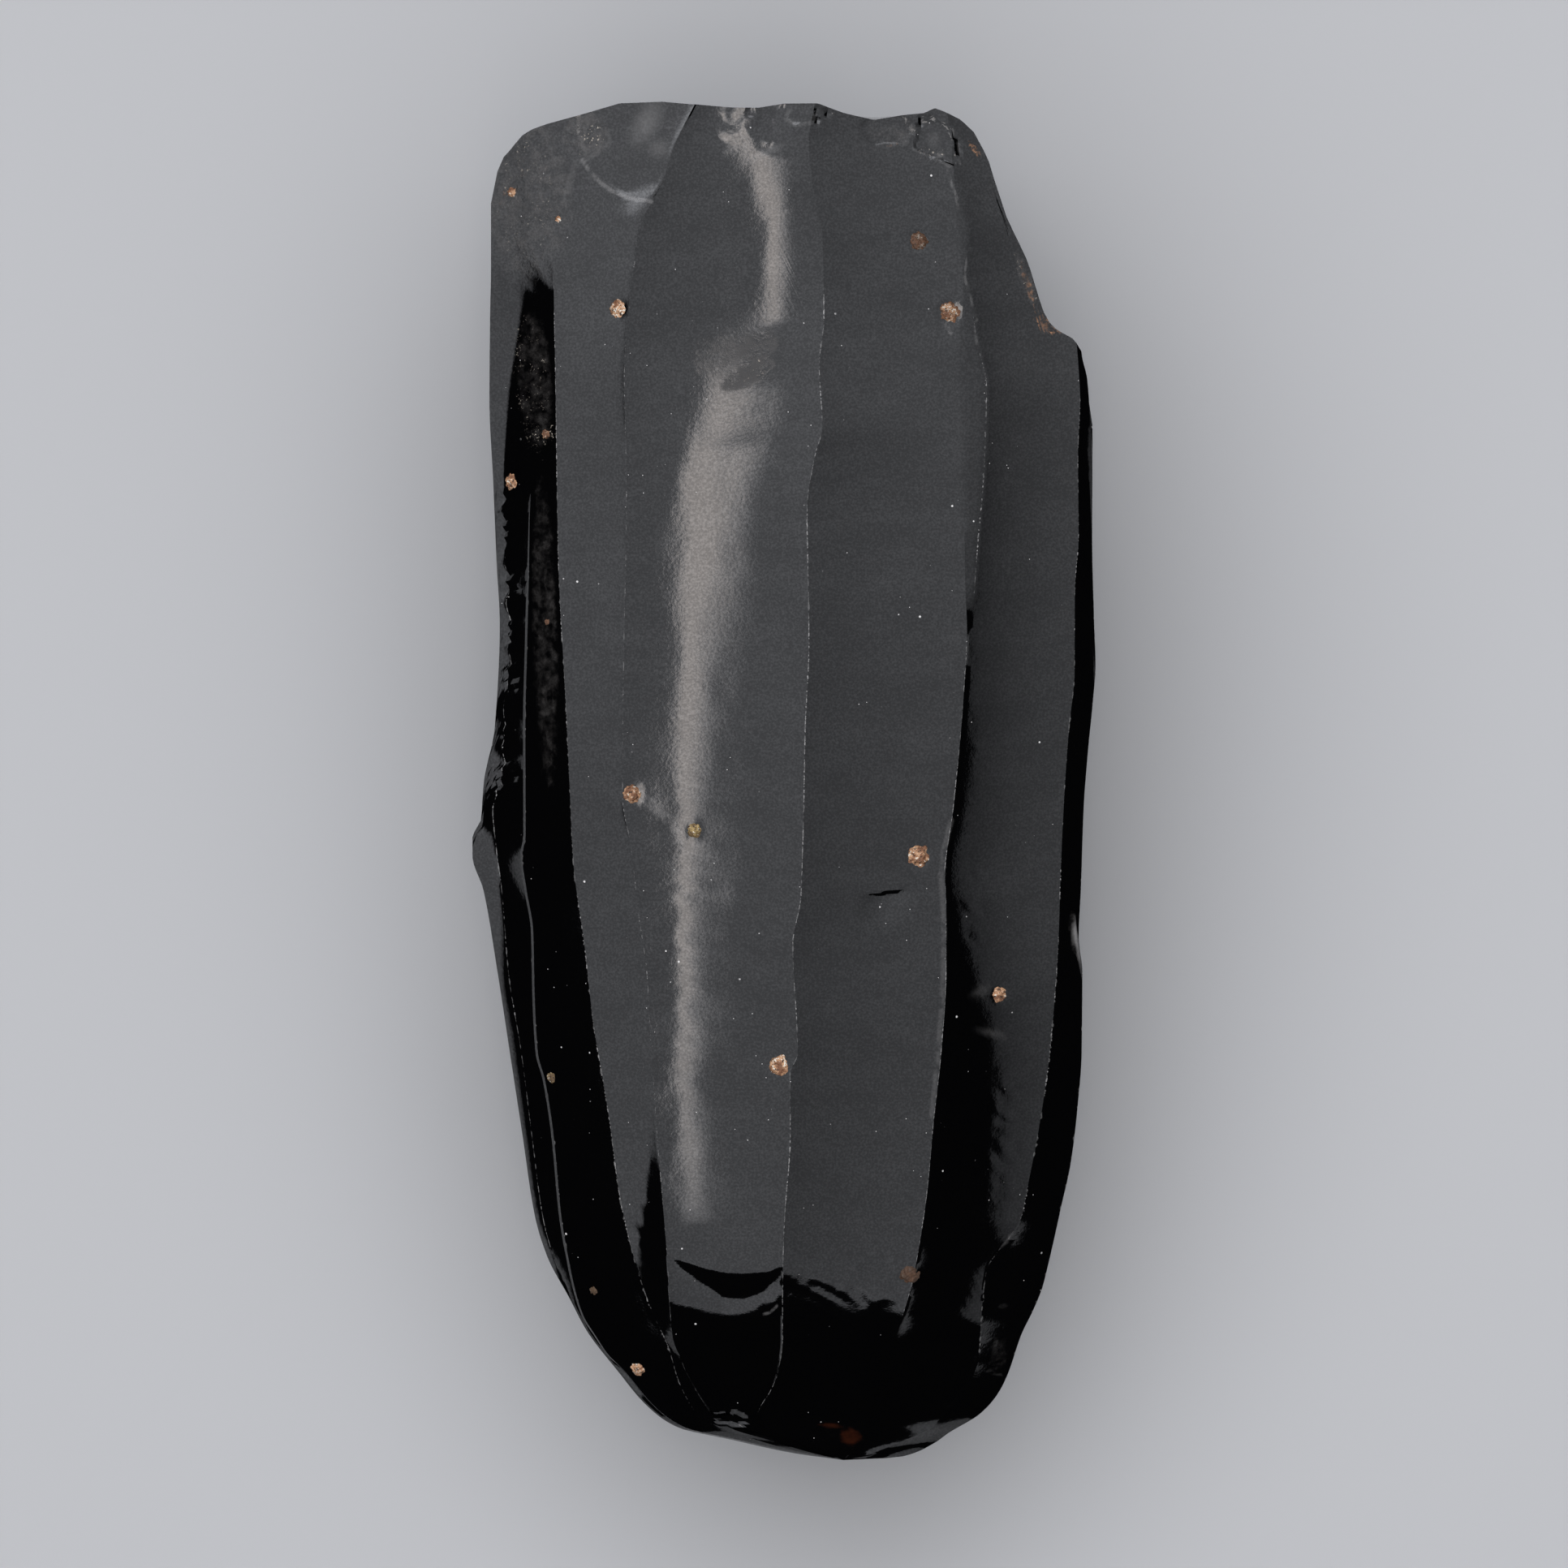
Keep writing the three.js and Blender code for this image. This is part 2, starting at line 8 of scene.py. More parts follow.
import bpy
import numpy as np
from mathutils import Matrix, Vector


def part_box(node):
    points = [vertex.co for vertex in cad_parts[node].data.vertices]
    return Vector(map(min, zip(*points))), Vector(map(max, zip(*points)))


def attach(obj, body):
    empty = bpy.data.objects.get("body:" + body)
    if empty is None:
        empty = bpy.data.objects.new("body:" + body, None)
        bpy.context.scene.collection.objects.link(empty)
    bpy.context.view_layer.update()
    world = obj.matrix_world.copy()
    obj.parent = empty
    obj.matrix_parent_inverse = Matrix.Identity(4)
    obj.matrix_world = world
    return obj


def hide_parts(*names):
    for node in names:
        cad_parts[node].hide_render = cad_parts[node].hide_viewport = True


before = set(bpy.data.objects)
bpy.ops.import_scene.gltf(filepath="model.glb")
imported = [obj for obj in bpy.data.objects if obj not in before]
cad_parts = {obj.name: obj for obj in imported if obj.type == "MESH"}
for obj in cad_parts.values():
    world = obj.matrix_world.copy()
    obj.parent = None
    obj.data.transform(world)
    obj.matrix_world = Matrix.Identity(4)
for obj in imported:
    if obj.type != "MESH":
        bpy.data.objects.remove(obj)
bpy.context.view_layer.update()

# Sizes of the stone, as in its model
LENGTH = 0.120
WIDTH = 0.055
DEPTH = 0.036
MM = 0.001

PLATFORM_LEAN = math.radians(10)
PLATFORM_FRONT_UP = 97
PLATFORM_CENTRE = (-8, 48)
CORNER_SWEEP = 0.25

# The fine skin: rows up the stone and over its platform
BODY_ROWS = 350
PLATFORM_ROWS = 26
CREASE_ROW = 9
CREASE_LEAST = 0.1
HALVINGS = 30
SHARP_ANGLE = math.radians(13)

# The camera stands far and straight above the core, and shows the photograph's width at this share of the
# depth; the photograph's middle lies this far below the core's middle
CAMERA_AWAY = 6
VIEW_WIDTH = 0.1384
VIEW_UP = 75
VIEW_DROP = -0.00025
SENSOR = 36

# Light: one wide panel overhead. Places on it are given by the tangent of their angle from straight up, to the
# right and towards the platform. It is dimmer to the right and towards the tip, with a warm glow in its middle
# and a bright strip on the platform's side. The glow fades between two tangents on each of its four sides.
PANEL_HEIGHT = 7
PANEL_REACH = 1.73
PANEL_RADIANCE = 1.22
PANEL_COLOUR = (0.96, 0.98, 1.04, 1)
FALL_TO_RIGHT = 0.46
LEFT_END, LEFT_END_SHARE = (-1.35, -1.7), 0.35
TIP_SIDE_SHARE = 0.85
PLATFORM_SIDE_SHARE = 1.15
SIDES_MEET = 0.2
GLOW_RADIANCE = 4.2
GLOW_COLOUR = (1.0, 0.93, 0.9, 1)
GLOW_LEFT, GLOW_RIGHT = (-0.12, 0.03), (0.11, 0.055)
GLOW_TIP_SIDE, GLOW_PLATFORM_SIDE = (-0.62, 0), (0.16, 0.04)
STRIP_RADIANCE = 2.2
STRIP_FROM, STRIP_TO = 0.72, 1.1
STRIP_LEFT, STRIP_RIGHT = -1.3, 0.7
STRIP_SOFTNESS = 0.25
WORLD_LEVEL = 0.01
FLOOR_COLOUR = (0.5, 0.5, 0.5, 1)

# Every ridge meets the others at the tip: [share of the length from the tip, share of the half width to
# the right, share of the depth up], in percent, as in the model
TIP = [0, 19, 53.3]
RIDGES = [
    {
        "name": "left_edge",
        "hollow": 0.02,
        "line": [
            TIP, [0.5, 3, 53.6], [1.5, -17, 55.5], [2.4, -34, 57.5], [3.9, -43.5, 59.1], [6.6, -53.5, 61],
            [9.6, -63.5, 63.1], [12, -69, 64.9], [15, -76, 66.2], [18, -80, 67.25], [24, -84, 69.4],
            [30, -88, 71], [36, -92, 72.1], [42, -96.5, 73], [44.5, -100, 73.2], [46, -100, 73.4],
            [46.8, -97.5, 74], [50, -96.3, 75.7], [54, -92.8, 77.6], [61.5, -91.2, 80.6], [66, -92.2, 80.6],
            [72, -93.3, 81.4], [78, -94.5, 82], [84, -94.3, 83.5], [88, -94, 84.6], [92, -94, 84.9],
            [100, -94, 84.9],
        ],
    },
    {
        "name": "left_flank_line",
        "hollow": 0.012,
        "line": [
            TIP, [0.5, 3.5, 53.9], [1.5, -16.4, 55.9], [2.4, -33.3, 57.9], [3.9, -42.8, 59.5],
            [6.6, -52.8, 61.5], [9.6, -62.8, 63.6], [12, -68.2, 65.4], [15, -74, 66.9], [18, -77.5, 68.3],
            [24, -81, 70.7], [30, -84.3, 72.6], [36, -88.5, 73.6], [42, -90.6, 75], [45, -92.3, 75.7],
            [48, -93.5, 76.6], [50.3, -90.5, 78], [54, -89.8, 79], [60, -88, 81.5], [66, -89, 81.6],
            [70.5, -90, 82.1], [77.6, -88, 84.2], [83.6, -84.5, 86.4], [87, -82.5, 88.5], [90, -82, 88.9],
            [100, -82, 88.9],
        ],
    },
    {
        "name": "left_bevel_line",
        "hollow": 0,
        "beside": "left_crest",
        "shift": [-1.1, -1.4],
    },
    {
        "name": "left_crest",
        "hollow": 0.01,
        "line": [
            TIP, [0.5, 5, 54.3], [1.5, -14.8, 56.6], [2.4, -31.7, 58.6], [3.9, -41.2, 60.2], [6.6, -51.2, 62.2],
            [7.8, -56.5, 63], [9, -60, 64], [10.7, -64.5, 65.4], [12.5, -67, 67.1], [15, -69.3, 69.5],
            [18, -71.5, 72.1], [24, -74, 75.2], [28, -76.7, 76.2], [30, -79, 76.5], [34, -80, 78.1],
            [39, -80.5, 80], [42, -82.6, 81], [44.5, -84, 81.8], [46, -82.9, 82.6], [54, -83, 84.2],
            [60, -82.4, 85.6], [66, -81.8, 86.9], [74, -81.3, 88], [78, -80, 88.9], [84, -78.5, 90],
            [88, -77.4, 90.5], [92, -76.8, 90.4], [100, -75, 90.4],
        ],
    },
    {
        "name": "left_ridge",
        "hollow": 0.024,
        "line": [
            TIP, [0.5, 7, 54.7], [1.5, -9, 57.2], [2.8, -24, 60.4], [3.6, -28.5, 62.2], [4.8, -31.7, 64.8],
            [6, -34, 67.2], [8.4, -37.1, 72], [10.7, -41.7, 75.9], [13, -45.5, 79.3], [16, -49.3, 82.3],
            [20, -53, 85.2], [24, -55.3, 87.3], [28, -58, 88.6], [32, -61, 89.4], [38, -64, 90.6],
            [44, -67.5, 91.7], [50, -68.8, 92.6], [56, -70, 93], [66, -72.3, 93], [80, -73.3, 93],
            [87, -73.8, 92.2], [92, -72, 91.8], [96, -70, 91.8], [100, -67, 91.8],
        ],
    },
    {
        "name": "middle_left_ridge",
        "hollow": 0.028,
        "line": [
            TIP, [0.5, 9.5, 54.9], [1.5, -5, 57.4], [2.3, -16.5, 59.6], [3, -21.5, 61.2], [4, -25, 63.4],
            [6.5, -31.4, 69], [7.7, -33.5, 71.6], [9, -35.6, 74.4], [12, -36.8, 80.9], [15, -37.5, 86.2],
            [18, -38.5, 89.3], [24, -40.7, 92], [32, -43, 94.5], [36, -44, 95.5], [40, -46.5, 96.3],
            [45, -49, 97.2], [49, -51.8, 97.7], [58, -51.5, 98.8], [71, -50.5, 99.8], [80, -51.2, 100],
            [84, -50, 100], [88, -48, 99.9], [91, -45.5, 99.6], [94, -39, 99], [96.5, -35.5, 98.5],
            [100, -28, 97.8],
        ],
    },
    {
        "name": "middle_right_ridge",
        "hollow": 0.025,
        "line": [
            TIP, [0.7, 11, 55.3], [1.5, 3, 57.4], [2.5, -6, 60], [3, -9, 61.3], [4, -7.5, 63.8],
            [5, -4.7, 66.3], [6.5, -2, 69.9], [9, -0.5, 75.6], [12, -0.5, 82.3], [15, -0.3, 87.3],
            [18, 0.2, 90.6], [24, 2, 93.6], [28.5, 1.9, 95.3], [30, 4.4, 95.7], [38, 2.8, 97.3],
            [41.5, 5.4, 97.9], [48, 6.3, 98.7], [54, 6.8, 99.3], [60, 8, 99.6], [70, 7.4, 99.8],
            [74, 10, 99.5], [76, 12.3, 99.2], [80.5, 11.3, 98.4], [84, 12.8, 97.6], [90, 12.3, 97.3],
            [94, 9, 97.3], [97, 8, 97.2], [100, 10, 97],
        ],
    },
    {
        "name": "right_ridge",
        "hollow": 0,
        "line": [
            TIP, [0.6, 21.5, 54.6], [1.5, 24, 56.4], [3.5, 27.5, 60.5], [5, 29.3, 63.6], [7, 33, 67.8],
            [9, 35.5, 72], [11, 38.5, 76.1], [13, 41, 79], [16, 43.5, 81.5], [20, 46, 83.5], [25, 48, 85.2],
            [30, 50.4, 86.5], [36, 52, 87.8], [41, 52, 88.8], [43, 51.6, 89.1], [48, 54.3, 89.8],
            [56, 57.5, 90.5], [61, 58.7, 91], [64, 58.2, 91.3], [76, 57.3, 91.7], [82, 56.5, 91.7],
            [86, 57.5, 91.5], [92, 55.5, 91.3], [100, 52, 90],
        ],
    },
    {
        "name": "right_sliver_line",
        "hollow": 0.035,
        "line": [
            TIP, [0.6, 21.9, 54.5], [1.5, 24.3, 56.3], [3.5, 27.8, 60.4], [5, 29.6, 63.5], [7, 33.3, 67.7],
            [9, 35.8, 71.9], [11, 38.8, 76], [13, 41.3, 78.9], [16, 43.9, 81.3], [20, 46.7, 83.1],
            [25, 48.9, 84.7], [30, 51.3, 86], [36, 52.9, 87.3], [41, 52.9, 88.3], [43, 52.5, 88.6],
            [48, 55.2, 89.3], [56, 58.4, 90], [61.3, 59.6, 90.4], [64, 61, 90.4], [67, 62, 90.3],
            [73, 64.2, 90.1], [79, 65, 90.1], [82.4, 61.8, 90.6], [86, 59.6, 91], [87.5, 58.2, 91.2],
            [90, 58.8, 90.9], [93, 56.6, 90.8], [100, 53, 89.7],
        ],
    },
    {
        "name": "right_edge_ridge",
        "hollow": 0.012,
        "line": [
            TIP, [0.5, 28, 53.6], [1.2, 36, 53.5], [2.5, 48, 53.5], [4, 55, 54.7], [5.5, 59.3, 56.6],
            [7.5, 62.5, 59.7], [11, 63.5, 65.5], [14, 65, 67.6], [15.5, 69, 67.3], [16.5, 72.5, 67.3],
            [18, 76.3, 67.4], [20.5, 78.5, 68.2], [24, 81.5, 69.1], [30, 85.3, 71.2], [38, 88, 75.4],
            [44, 88.9, 77.1], [50, 90.2, 78.2], [54, 91.5, 78.9], [58, 93.2, 79.5], [64, 93.3, 80.4],
            [68, 94.5, 80.8], [74, 94.3, 81.6], [78, 95, 82], [81, 94.3, 82.3], [85, 93, 82.6], [92, 93, 83],
            [100, 93, 83],
        ],
    },
    {
        "name": "right_edge",
        "hollow": 0.03,
        "line": [
            TIP, [0.2, 37, 51.2], [1.2, 48, 49.3], [2, 53, 49.6], [3.4, 63, 50.4], [4.8, 68.5, 51.4],
            [6.2, 71.7, 52.3], [9.3, 76.4, 54.9], [11, 80, 55.4], [12.7, 83, 56], [14.5, 85, 57],
            [16.5, 87, 58.8], [18.6, 89, 60.3], [22, 92.2, 61.7], [26, 94.3, 63.2], [30, 95.6, 65.3],
            [36, 95.8, 70], [38.5, 94.6, 72], [42, 95.3, 73], [48, 96.2, 74.3], [52, 97.5, 74.8],
            [56, 99.2, 75.2], [58.5, 100, 75.5], [62, 99.5, 76.3], [68, 98.9, 78.2], [76, 99, 79.7],
            [79.5, 98, 80.4], [81.5, 95.8, 81.4], [85, 95, 81.8], [92, 95, 82.2], [100, 95, 82.2],
        ],
    },
    {
        "name": "right_flank_ridge",
        "hollow": 0.04,
        "line": [
            TIP, [0.5, 31, 50], [1.5, 42, 46.5], [4, 56, 42], [8, 66, 38], [15, 76, 38.5], [30, 86, 42],
            [50, 90, 46], [75, 91, 49], [88, 89, 51], [100, 86, 52],
        ],
    },
    {
        "name": "right_heel",
        "hollow": 0.04,
        "line": [
            TIP, [0.5, 27, 48], [1.5, 34, 43], [4, 43, 36.5], [8, 51, 30], [15, 58, 26], [30, 66, 23],
            [50, 70, 22], [75, 71, 22], [88, 69, 23], [100, 66, 25],
        ],
    },
    {
        "name": "rest_face_right",
        "hollow": 0,
        "line": [
            TIP, [0.5, 22, 45], [1.5, 26, 39], [4, 30, 29], [8, 33, 16], [12, 35, 6.5], [15, 36, 2],
            [18, 37, 0], [60, 39, 0], [93, 37, 0], [100, 36, 0],
        ],
    },
    {
        "name": "rest_face_left",
        "hollow": 0.04,
        "line": [
            TIP, [0.5, 14, 45], [1.5, 8, 39], [4, -2, 29], [8, -11, 16], [12, -18, 6.5], [15, -22, 2],
            [18, -25, 0], [40, -36, 0], [70, -41, 0], [93, -41, 0], [100, -40, 0],
        ],
    },
    {
        "name": "left_heel",
        "hollow": 0.04,
        "line": [
            TIP, [0.5, 9, 48], [1.5, -7, 44.5], [4, -26, 38.5], [8, -40, 32], [15, -54, 27], [30, -66, 23],
            [50, -75, 22], [75, -79, 23], [90, -79, 25], [100, -77, 27],
        ],
    },
    {
        "name": "left_flank_ridge",
        "hollow": 0.03,
        "line": [
            TIP, [0.5, 6, 51], [1.5, -12, 49.5], [4, -36, 46.5], [8, -53, 43.5], [15, -70, 43], [30, -82, 43.5],
            [50, -87, 46], [75, -88, 51], [90, -87, 53], [100, -86, 54],
        ],
    },
]
FRONT_SCARS = 10

# The hollows of the scars grow to their full depth over this share of the length from the tip
HOLLOW_GROWS = 16

# The bevel beside the left crest grows to its full width over this share of the length from the tip, and
# narrows again towards the platform: where it ends, over what share of the length, and how much of it stays
BEVEL_GROWS = 14
BEVEL_END = 73
BEVEL_FADE = 10
BEVEL_LEAST = 0.04
BEVEL_SEEN = 0.65

# Above this share of the length the left flank has no crest of its own: it is one plane with the scar beside it
MERGE_FROM = 69
MERGE_OVER = 5
CREST_PART = 0.55
BEVEL_PART = 0.5

# The ragged line between the left flank's two strips: how far its teeth reach, how long they are, and over
# which part of the length they run
TEETH_REACH = 0.3 * MM
TEETH_LENGTH = 1.6 * MM
TEETH_FROM, TEETH_TO = 47, 73

# The photograph's scale, and places in it
PIXEL = LENGTH / 1675
PHOTO_MIDDLE = (966, 962.5)
MIDDLE_SCAR = 5

# The crescent low on the middle scar: [across, its upper edge, its lower edge], in the photograph's pixels, and
# how steeply the surface falls between them. Below it the scar bends down along an arc: [across, down].
CRESCENT = [
    [822, 1545, 1547], [836, 1550, 1559], [865, 1561, 1578], [880, 1565, 1588], [893, 1568, 1597],
    [915, 1569, 1598], [932, 1568, 1594], [945, 1567, 1584], [955, 1563, 1575], [964, 1556, 1565],
]
CRESCENT_STEEP = 0.22
ARC = [[822, 1606], [850, 1616], [880, 1624], [905, 1627], [930, 1622], [950, 1610], [966, 1596]]
ARC_WIDTH = 1.5 * MM
ARC_HEIGHT = 0.2 * MM

# A thin black crescent on the scar to its right: middle and half length in the photograph's pixels, lean, width,
# how steeply it falls, and how far below it the scar is itself again
HINGE_MIDDLE = (1093, 1098)
HINGE_HALF = 36
HINGE_TURN = 0.12
HINGE_WIDTH = 0.33 * MM
HINGE_STEEP = 0.8
HINGE_REGAINED = 4 * MM

# A shallow groove runs down the middle scar: [how far down, how far across, both in the photograph's pixels,
# how deep in millimetres]
GROOVE = [
    [150, 945, 0, 36], [215, 950, 0.06, 40], [260, 962, 0.12, 44], [300, 962, 0.15, 44], [385, 962, 0.15, 44],
    [440, 958, 0.07, 44], [490, 950, 0, 40], [520, 932, 0, 29], [560, 905, -0.02, 29], [620, 872, -0.01, 29],
    [700, 862, 0.005, 36], [780, 853, 0.045, 40], [850, 850, 0.07, 40], [920, 852, 0.06, 38],
    [970, 852, 0.05, 33], [1050, 846, 0.055, 30], [1150, 844, 0.055, 29], [1300, 849, 0.05, 29], [1400, 853, 0.04, 29],
    [1460, 857, 0.03, 29], [1520, 864, 0.02, 29], [1560, 866, 0, 29],
]

# Between these places the groove leans to either side in turn
NOTCHES_FROM, NOTCHES_TO = 900, 1450
NOTCHES_GROW = 150
NOTCH_LENGTH = 2.3 * MM
NOTCH_WANDER = 1.3 * MM
NOTCH_LEAN = 0.014

# Small flake scars and swellings of the front: the scar they are kept to, or none; in the photograph's pixels the
# middle and the half sizes; the turn in degrees; how deep they are in millimetres, less than 0 where they
# swell; and how much of the way out from the middle is their rim
DENTS = [
    ["left_ridge", (800, 150), (93, 100), 0, 0.085, 0.1],
    ["left_ridge", (700, 235), (22, 16), 20, 0.03, 0.5],
    ["middle_left_ridge", (878, 126), (46, 80), 0, 0.2, 1],
    ["middle_left_ridge", (957, 126), (42, 78), 0, 0.28, 1],
    ["middle_left_ridge", (978, 136), (17, 20), 0, 0.08, 0.4],
    ["middle_left_ridge", (925, 140), (8, 8), 0, 0.08, 0.7],
    ["middle_right_ridge", (1006, 143), (6, 15), 12, 0.25, 0.8],
    ["middle_right_ridge", (1019, 140), (3.5, 9), 0, 0.12, 0.8],
    ["middle_right_ridge", (1092, 158), (34, 25), 0, 0.08, 0.25],
    [None, (1179, 181), (5, 27), 12, 0.22, 0.9],
    ["middle_right_ridge", (1135, 152), (5, 12), -35, 0.15, 0.8],
    ["middle_right_ridge", (1122, 165), (4, 5), 0, 0.1, 0.8],
    ["middle_right_ridge", (1094, 1088), (66, 14), 3, -0.02, 1],
    ["right_sliver_line", (1212, 240), (18, 13), -20, 0.02, 0.3],
    ["right_sliver_line", (1238, 262), (5, 9), 20, 0.15, 0.8],
    ["right_sliver_line", (1231, 1668), (17, 29), -8, 0.06, 0.35],
    [None, (902, 1749), (26, 11), -3, 0.25, 0.5],
    [None, (1325, 1150), (6, 28), 8, 0.12, 0.6],
]

# Lines where the glass is crushed and lines of painted highlight where it catches the light, drawn through places
# in the photograph: half width in its pixels, how pale they are, and how high they stand in millimetres
LINES = [
    [[(718, 198), (728, 214), (740, 226), (754, 236), (772, 244), (803, 250)], 4, 0.28, 0],
    [[(711, 200), (703, 222), (697, 246)], 7, 0.08, 0],
    [[(748, 160), (752, 176), (744, 186), (722, 197)], 4, 0.1, 0],
    [[(972, 138), (968, 147), (980, 155), (1000, 153), (1004, 143)], 4, 0.12, 0.01],
    [[(942, 267), (962, 262), (985, 252)], 3, 0, 0.006],
    [[(1088, 180), (1102, 178), (1117, 176)], 5, 0.1, 0],
    [[(1174, 160), (1179, 178), (1182, 203)], 2.5, 0.3, 0.02],
    [[(1124, 184), (1140, 192), (1156, 199), (1172, 206)], 2.5, 0.12, 0.01],
    [[(1167, 206), (1171, 224), (1178, 242), (1181, 258)], 2.5, 0.2, 0],
    [[(1194, 306), (1188, 340), (1192, 357), (1200, 380), (1203, 394)], 2.5, 0.22, 0],
    [[(1199, 400), (1200, 410), (1204, 424)], 2.5, 0.15, 0],
    [[(1165, 400), (1171, 411)], 4, 0.2, 0],
    [[(795, 985), (815, 1000), (832, 1020), (838, 1045)], 9, 0.16, 0],
    [[(1172, 1010), (1162, 1050), (1160, 1090), (1163, 1140), (1162, 1210), (1156, 1295), (1147, 1380)], 5, 0.12, 0],
    [[(1164, 1070), (1157, 1082)], 5, 0.25, 0],
    [[(940, 1620), (950, 1616), (958, 1608)], 2.5, 0.3, 0],
    [[(1245, 1521), (1235, 1538), (1224, 1560)], 3, 0.15, 0],
    [[(1246, 1602), (1228, 1616), (1220, 1645), (1217, 1690), (1240, 1697)], 3, 0.05, 0],
    [[(968, 1564), (1010, 1569), (1055, 1575), (1082, 1594)], 20, 0, 0.15],
    [[(798, 1440), (793, 1485), (789, 1520), (790, 1550)], 10, 0, -0.05],
]

# An angular flake scar near the platform's right end
FACET = [(1124, 184), (1133, 152), (1145, 142), (1170, 155), (1181, 203), (1172, 206), (1156, 199)]
FACET_DEPTH = 0.1 * MM
FACET_RIM = 0.25 * MM

# Pale patches, partly crushed glass and partly painted highlights; dull, weathered patches, crystal grains in
# the glass, iron-brown crusts and glass thin enough to glow red: middle, half sizes, turn, strength
PALE = [
    [(797, 152), (24, 44), -28, 0.26],
    [(812, 184), (22, 18), 0, 0.18],
    [(919, 186), (7, 24), 0, 0.15],
    [(943, 190), (34, 7), 27, 0.22],
    [(1150, 172), (12, 14), 0, 0.12],
    [(1158, 192), (6, 4), 0, 0.4],
    [(1209, 1221), (19, 9), 25, 0.13],
    [(1222, 1273), (26, 7), -15, 0.13],
    [(1325, 1150), (5, 24), 8, 0.8],
]
WORN = [
    [(650, 240), (70, 130), 0, 0.5],
    [(660, 470), (27, 105), 3, 0.38],
    [(672, 780), (20, 240), 1.5, 0.36],
    [(722, 168), (34, 34), 0, 0.8],
    [(922, 463), (44, 15), 27, 1],
    [(932, 428), (34, 22), 15, 0.6],
    [(890, 440), (50, 34), 10, 0.3],
    [(915, 610), (9, 4), 10, 0.6],
    [(1264, 345), (10, 42), 20, 0.5],
    [(1231, 1668), (16, 28), -8, 0.3],
    [(1100, 160), (40, 26), 0, 0.4],
    [(667, 535), (17, 14), 0, 0.5],
    [(1325, 1150), (7, 32), 8, 1],
]
GRAINS = [
    [(655, 475), (30, 115), 6, 0.3],
    [(722, 168), (32, 34), 0, 0.6],
    [(672, 535), (18, 14), 0, 0.7],
    [(1264, 345), (10, 42), 20, 0.5],
    [(645, 245), (50, 110), 0, 0.3],
    [(930, 455), (30, 14), 27, 0.5],
    [(1150, 190), (28, 16), -20, 0.4],
    [(905, 160), (16, 8), 0, 0.5],
]
DULLED = [
    [(922, 461), (50, 19), 25, 1],
    [(934, 428), (42, 28), 15, 0.8],
    [(885, 440), (60, 40), 10, 0.45],
]
RAGGED = [
    [(1198, 900), (14, 230), 0, 0.25],
    [(1200, 1120), (18, 90), 0, 0.8],
    [(1238, 1400), (26, 130), 0, 1],
    [(1050, 1598), (90, 26), -12, 0.6],
    [(662, 352), (30, 40), 20, 1],
    [(800, 1500), (24, 80), 0, 1],
]
RUST = [
    [(1290, 401), (24, 8), -28, 1],
    [(1266, 350), (7, 34), 16, 0.45],
    [(1200, 184), (16, 6), -48, 0.5],
    [(1101, 179), (17, 2.5), 12, 0.4],
    [(628, 238), (16, 10), 10, 0.3],
]
THIN = [
    [(1048, 1771), (22, 18), -30, 0.5],
    [(1022, 1757), (26, 5), -5, 0.45],
]
HACKLES = [
    [(982, 370), (28, 90), 12, 1],
    [(972, 590), (26, 80), 20, 1],
    [(935, 530), (40, 34), 0, 0.8],
    [(800, 165), (22, 20), 0, 0.8],
]
HACKLE_TURN = math.radians(28)
PATCHES = {"pale": (PALE, 1), "worn": (WORN, 0.4), "grainy": (GRAINS, 0.4), "rusty": (RUST, 0.6), "thin": (THIN, 0.8),
           "hackled": (HACKLES, 0.5), "dulled": (DULLED, 0.7)}

# How chipped a ridge is, which also sets how many painted glints it has, and over which part of the length
CHIPPED_AND_GLINTING_RIDGES = {
    "left_flank_line": [1.1, 8, 68], "left_bevel_line": [0.9, 14, 72], "left_crest": [0.9, 10, 68],
    "left_ridge": [1.08, 2, 86], "middle_left_ridge": [1, 2, 90], "middle_right_ridge": [1.1, 2, 88],
    "right_ridge": [1.08, 9, 62], "right_sliver_line": [1, 62, 86], "right_edge_ridge": [1, 6, 80],
    "right_edge": [0.9, 4, 80],
}

# How many columns of the fine skin each scar gets
COLUMNS = {
    "left_edge": 6, "left_flank_line": 10, "left_bevel_line": 2, "left_crest": 10, "left_ridge": 38,
    "middle_left_ridge": 62, "middle_right_ridge": 46, "right_ridge": 3, "right_sliver_line": 28,
    "right_edge_ridge": 5, "right_edge": 5, "right_flank_ridge": 7, "right_heel": 10,
    "rest_face_right": 4, "rest_face_left": 12, "left_heel": 6, "left_flank_ridge": 5,
}

CORNERS = [
    {
        "up": 85,
        "outline": [
            [-36, 101], [-43, 100], [-50, 99.8], [-64, 98.9], [-74.3, 98.3], [-79.5, 97.9], [-83.4, 97.4],
            [-86.8, 96.5], [-89.9, 95.8], [-92.2, 94.6], [-93.8, 92.7], [-95, 91.5], [-101, 88],
        ],
    },
    {
        "up": 85.5,
        "outline": [
            [41, 101], [45, 99.6], [50, 99.2], [55.6, 98.6], [60, 97.7], [64.7, 95.8], [67.3, 93.9],
            [71.2, 91.3], [75.8, 89.3], [78.4, 88.1], [81, 86.3], [83.4, 84.6], [86.5, 83.4], [90.6, 82.9],
            [94, 82.5], [97, 81.5], [99, 79], [101, 76],
        ],
    },
]

# How darkly stained a ball of crystal is, where it isn't clean
STAINED = {
    "spherulite_upper_right": 0.75, "spherulite_right_ridge": 0.3, "spherulite_lower_right": 0.95,
    "spherulite_left_scar": 0.6, "spherulite_lower_amber": 0.45, "spherulite_tip_faint": 0.8,
    "spherulite_left_corner": 0.15, "spherulite_middle_left": 0.15, "spherulite_left_grains": 0.4,
}

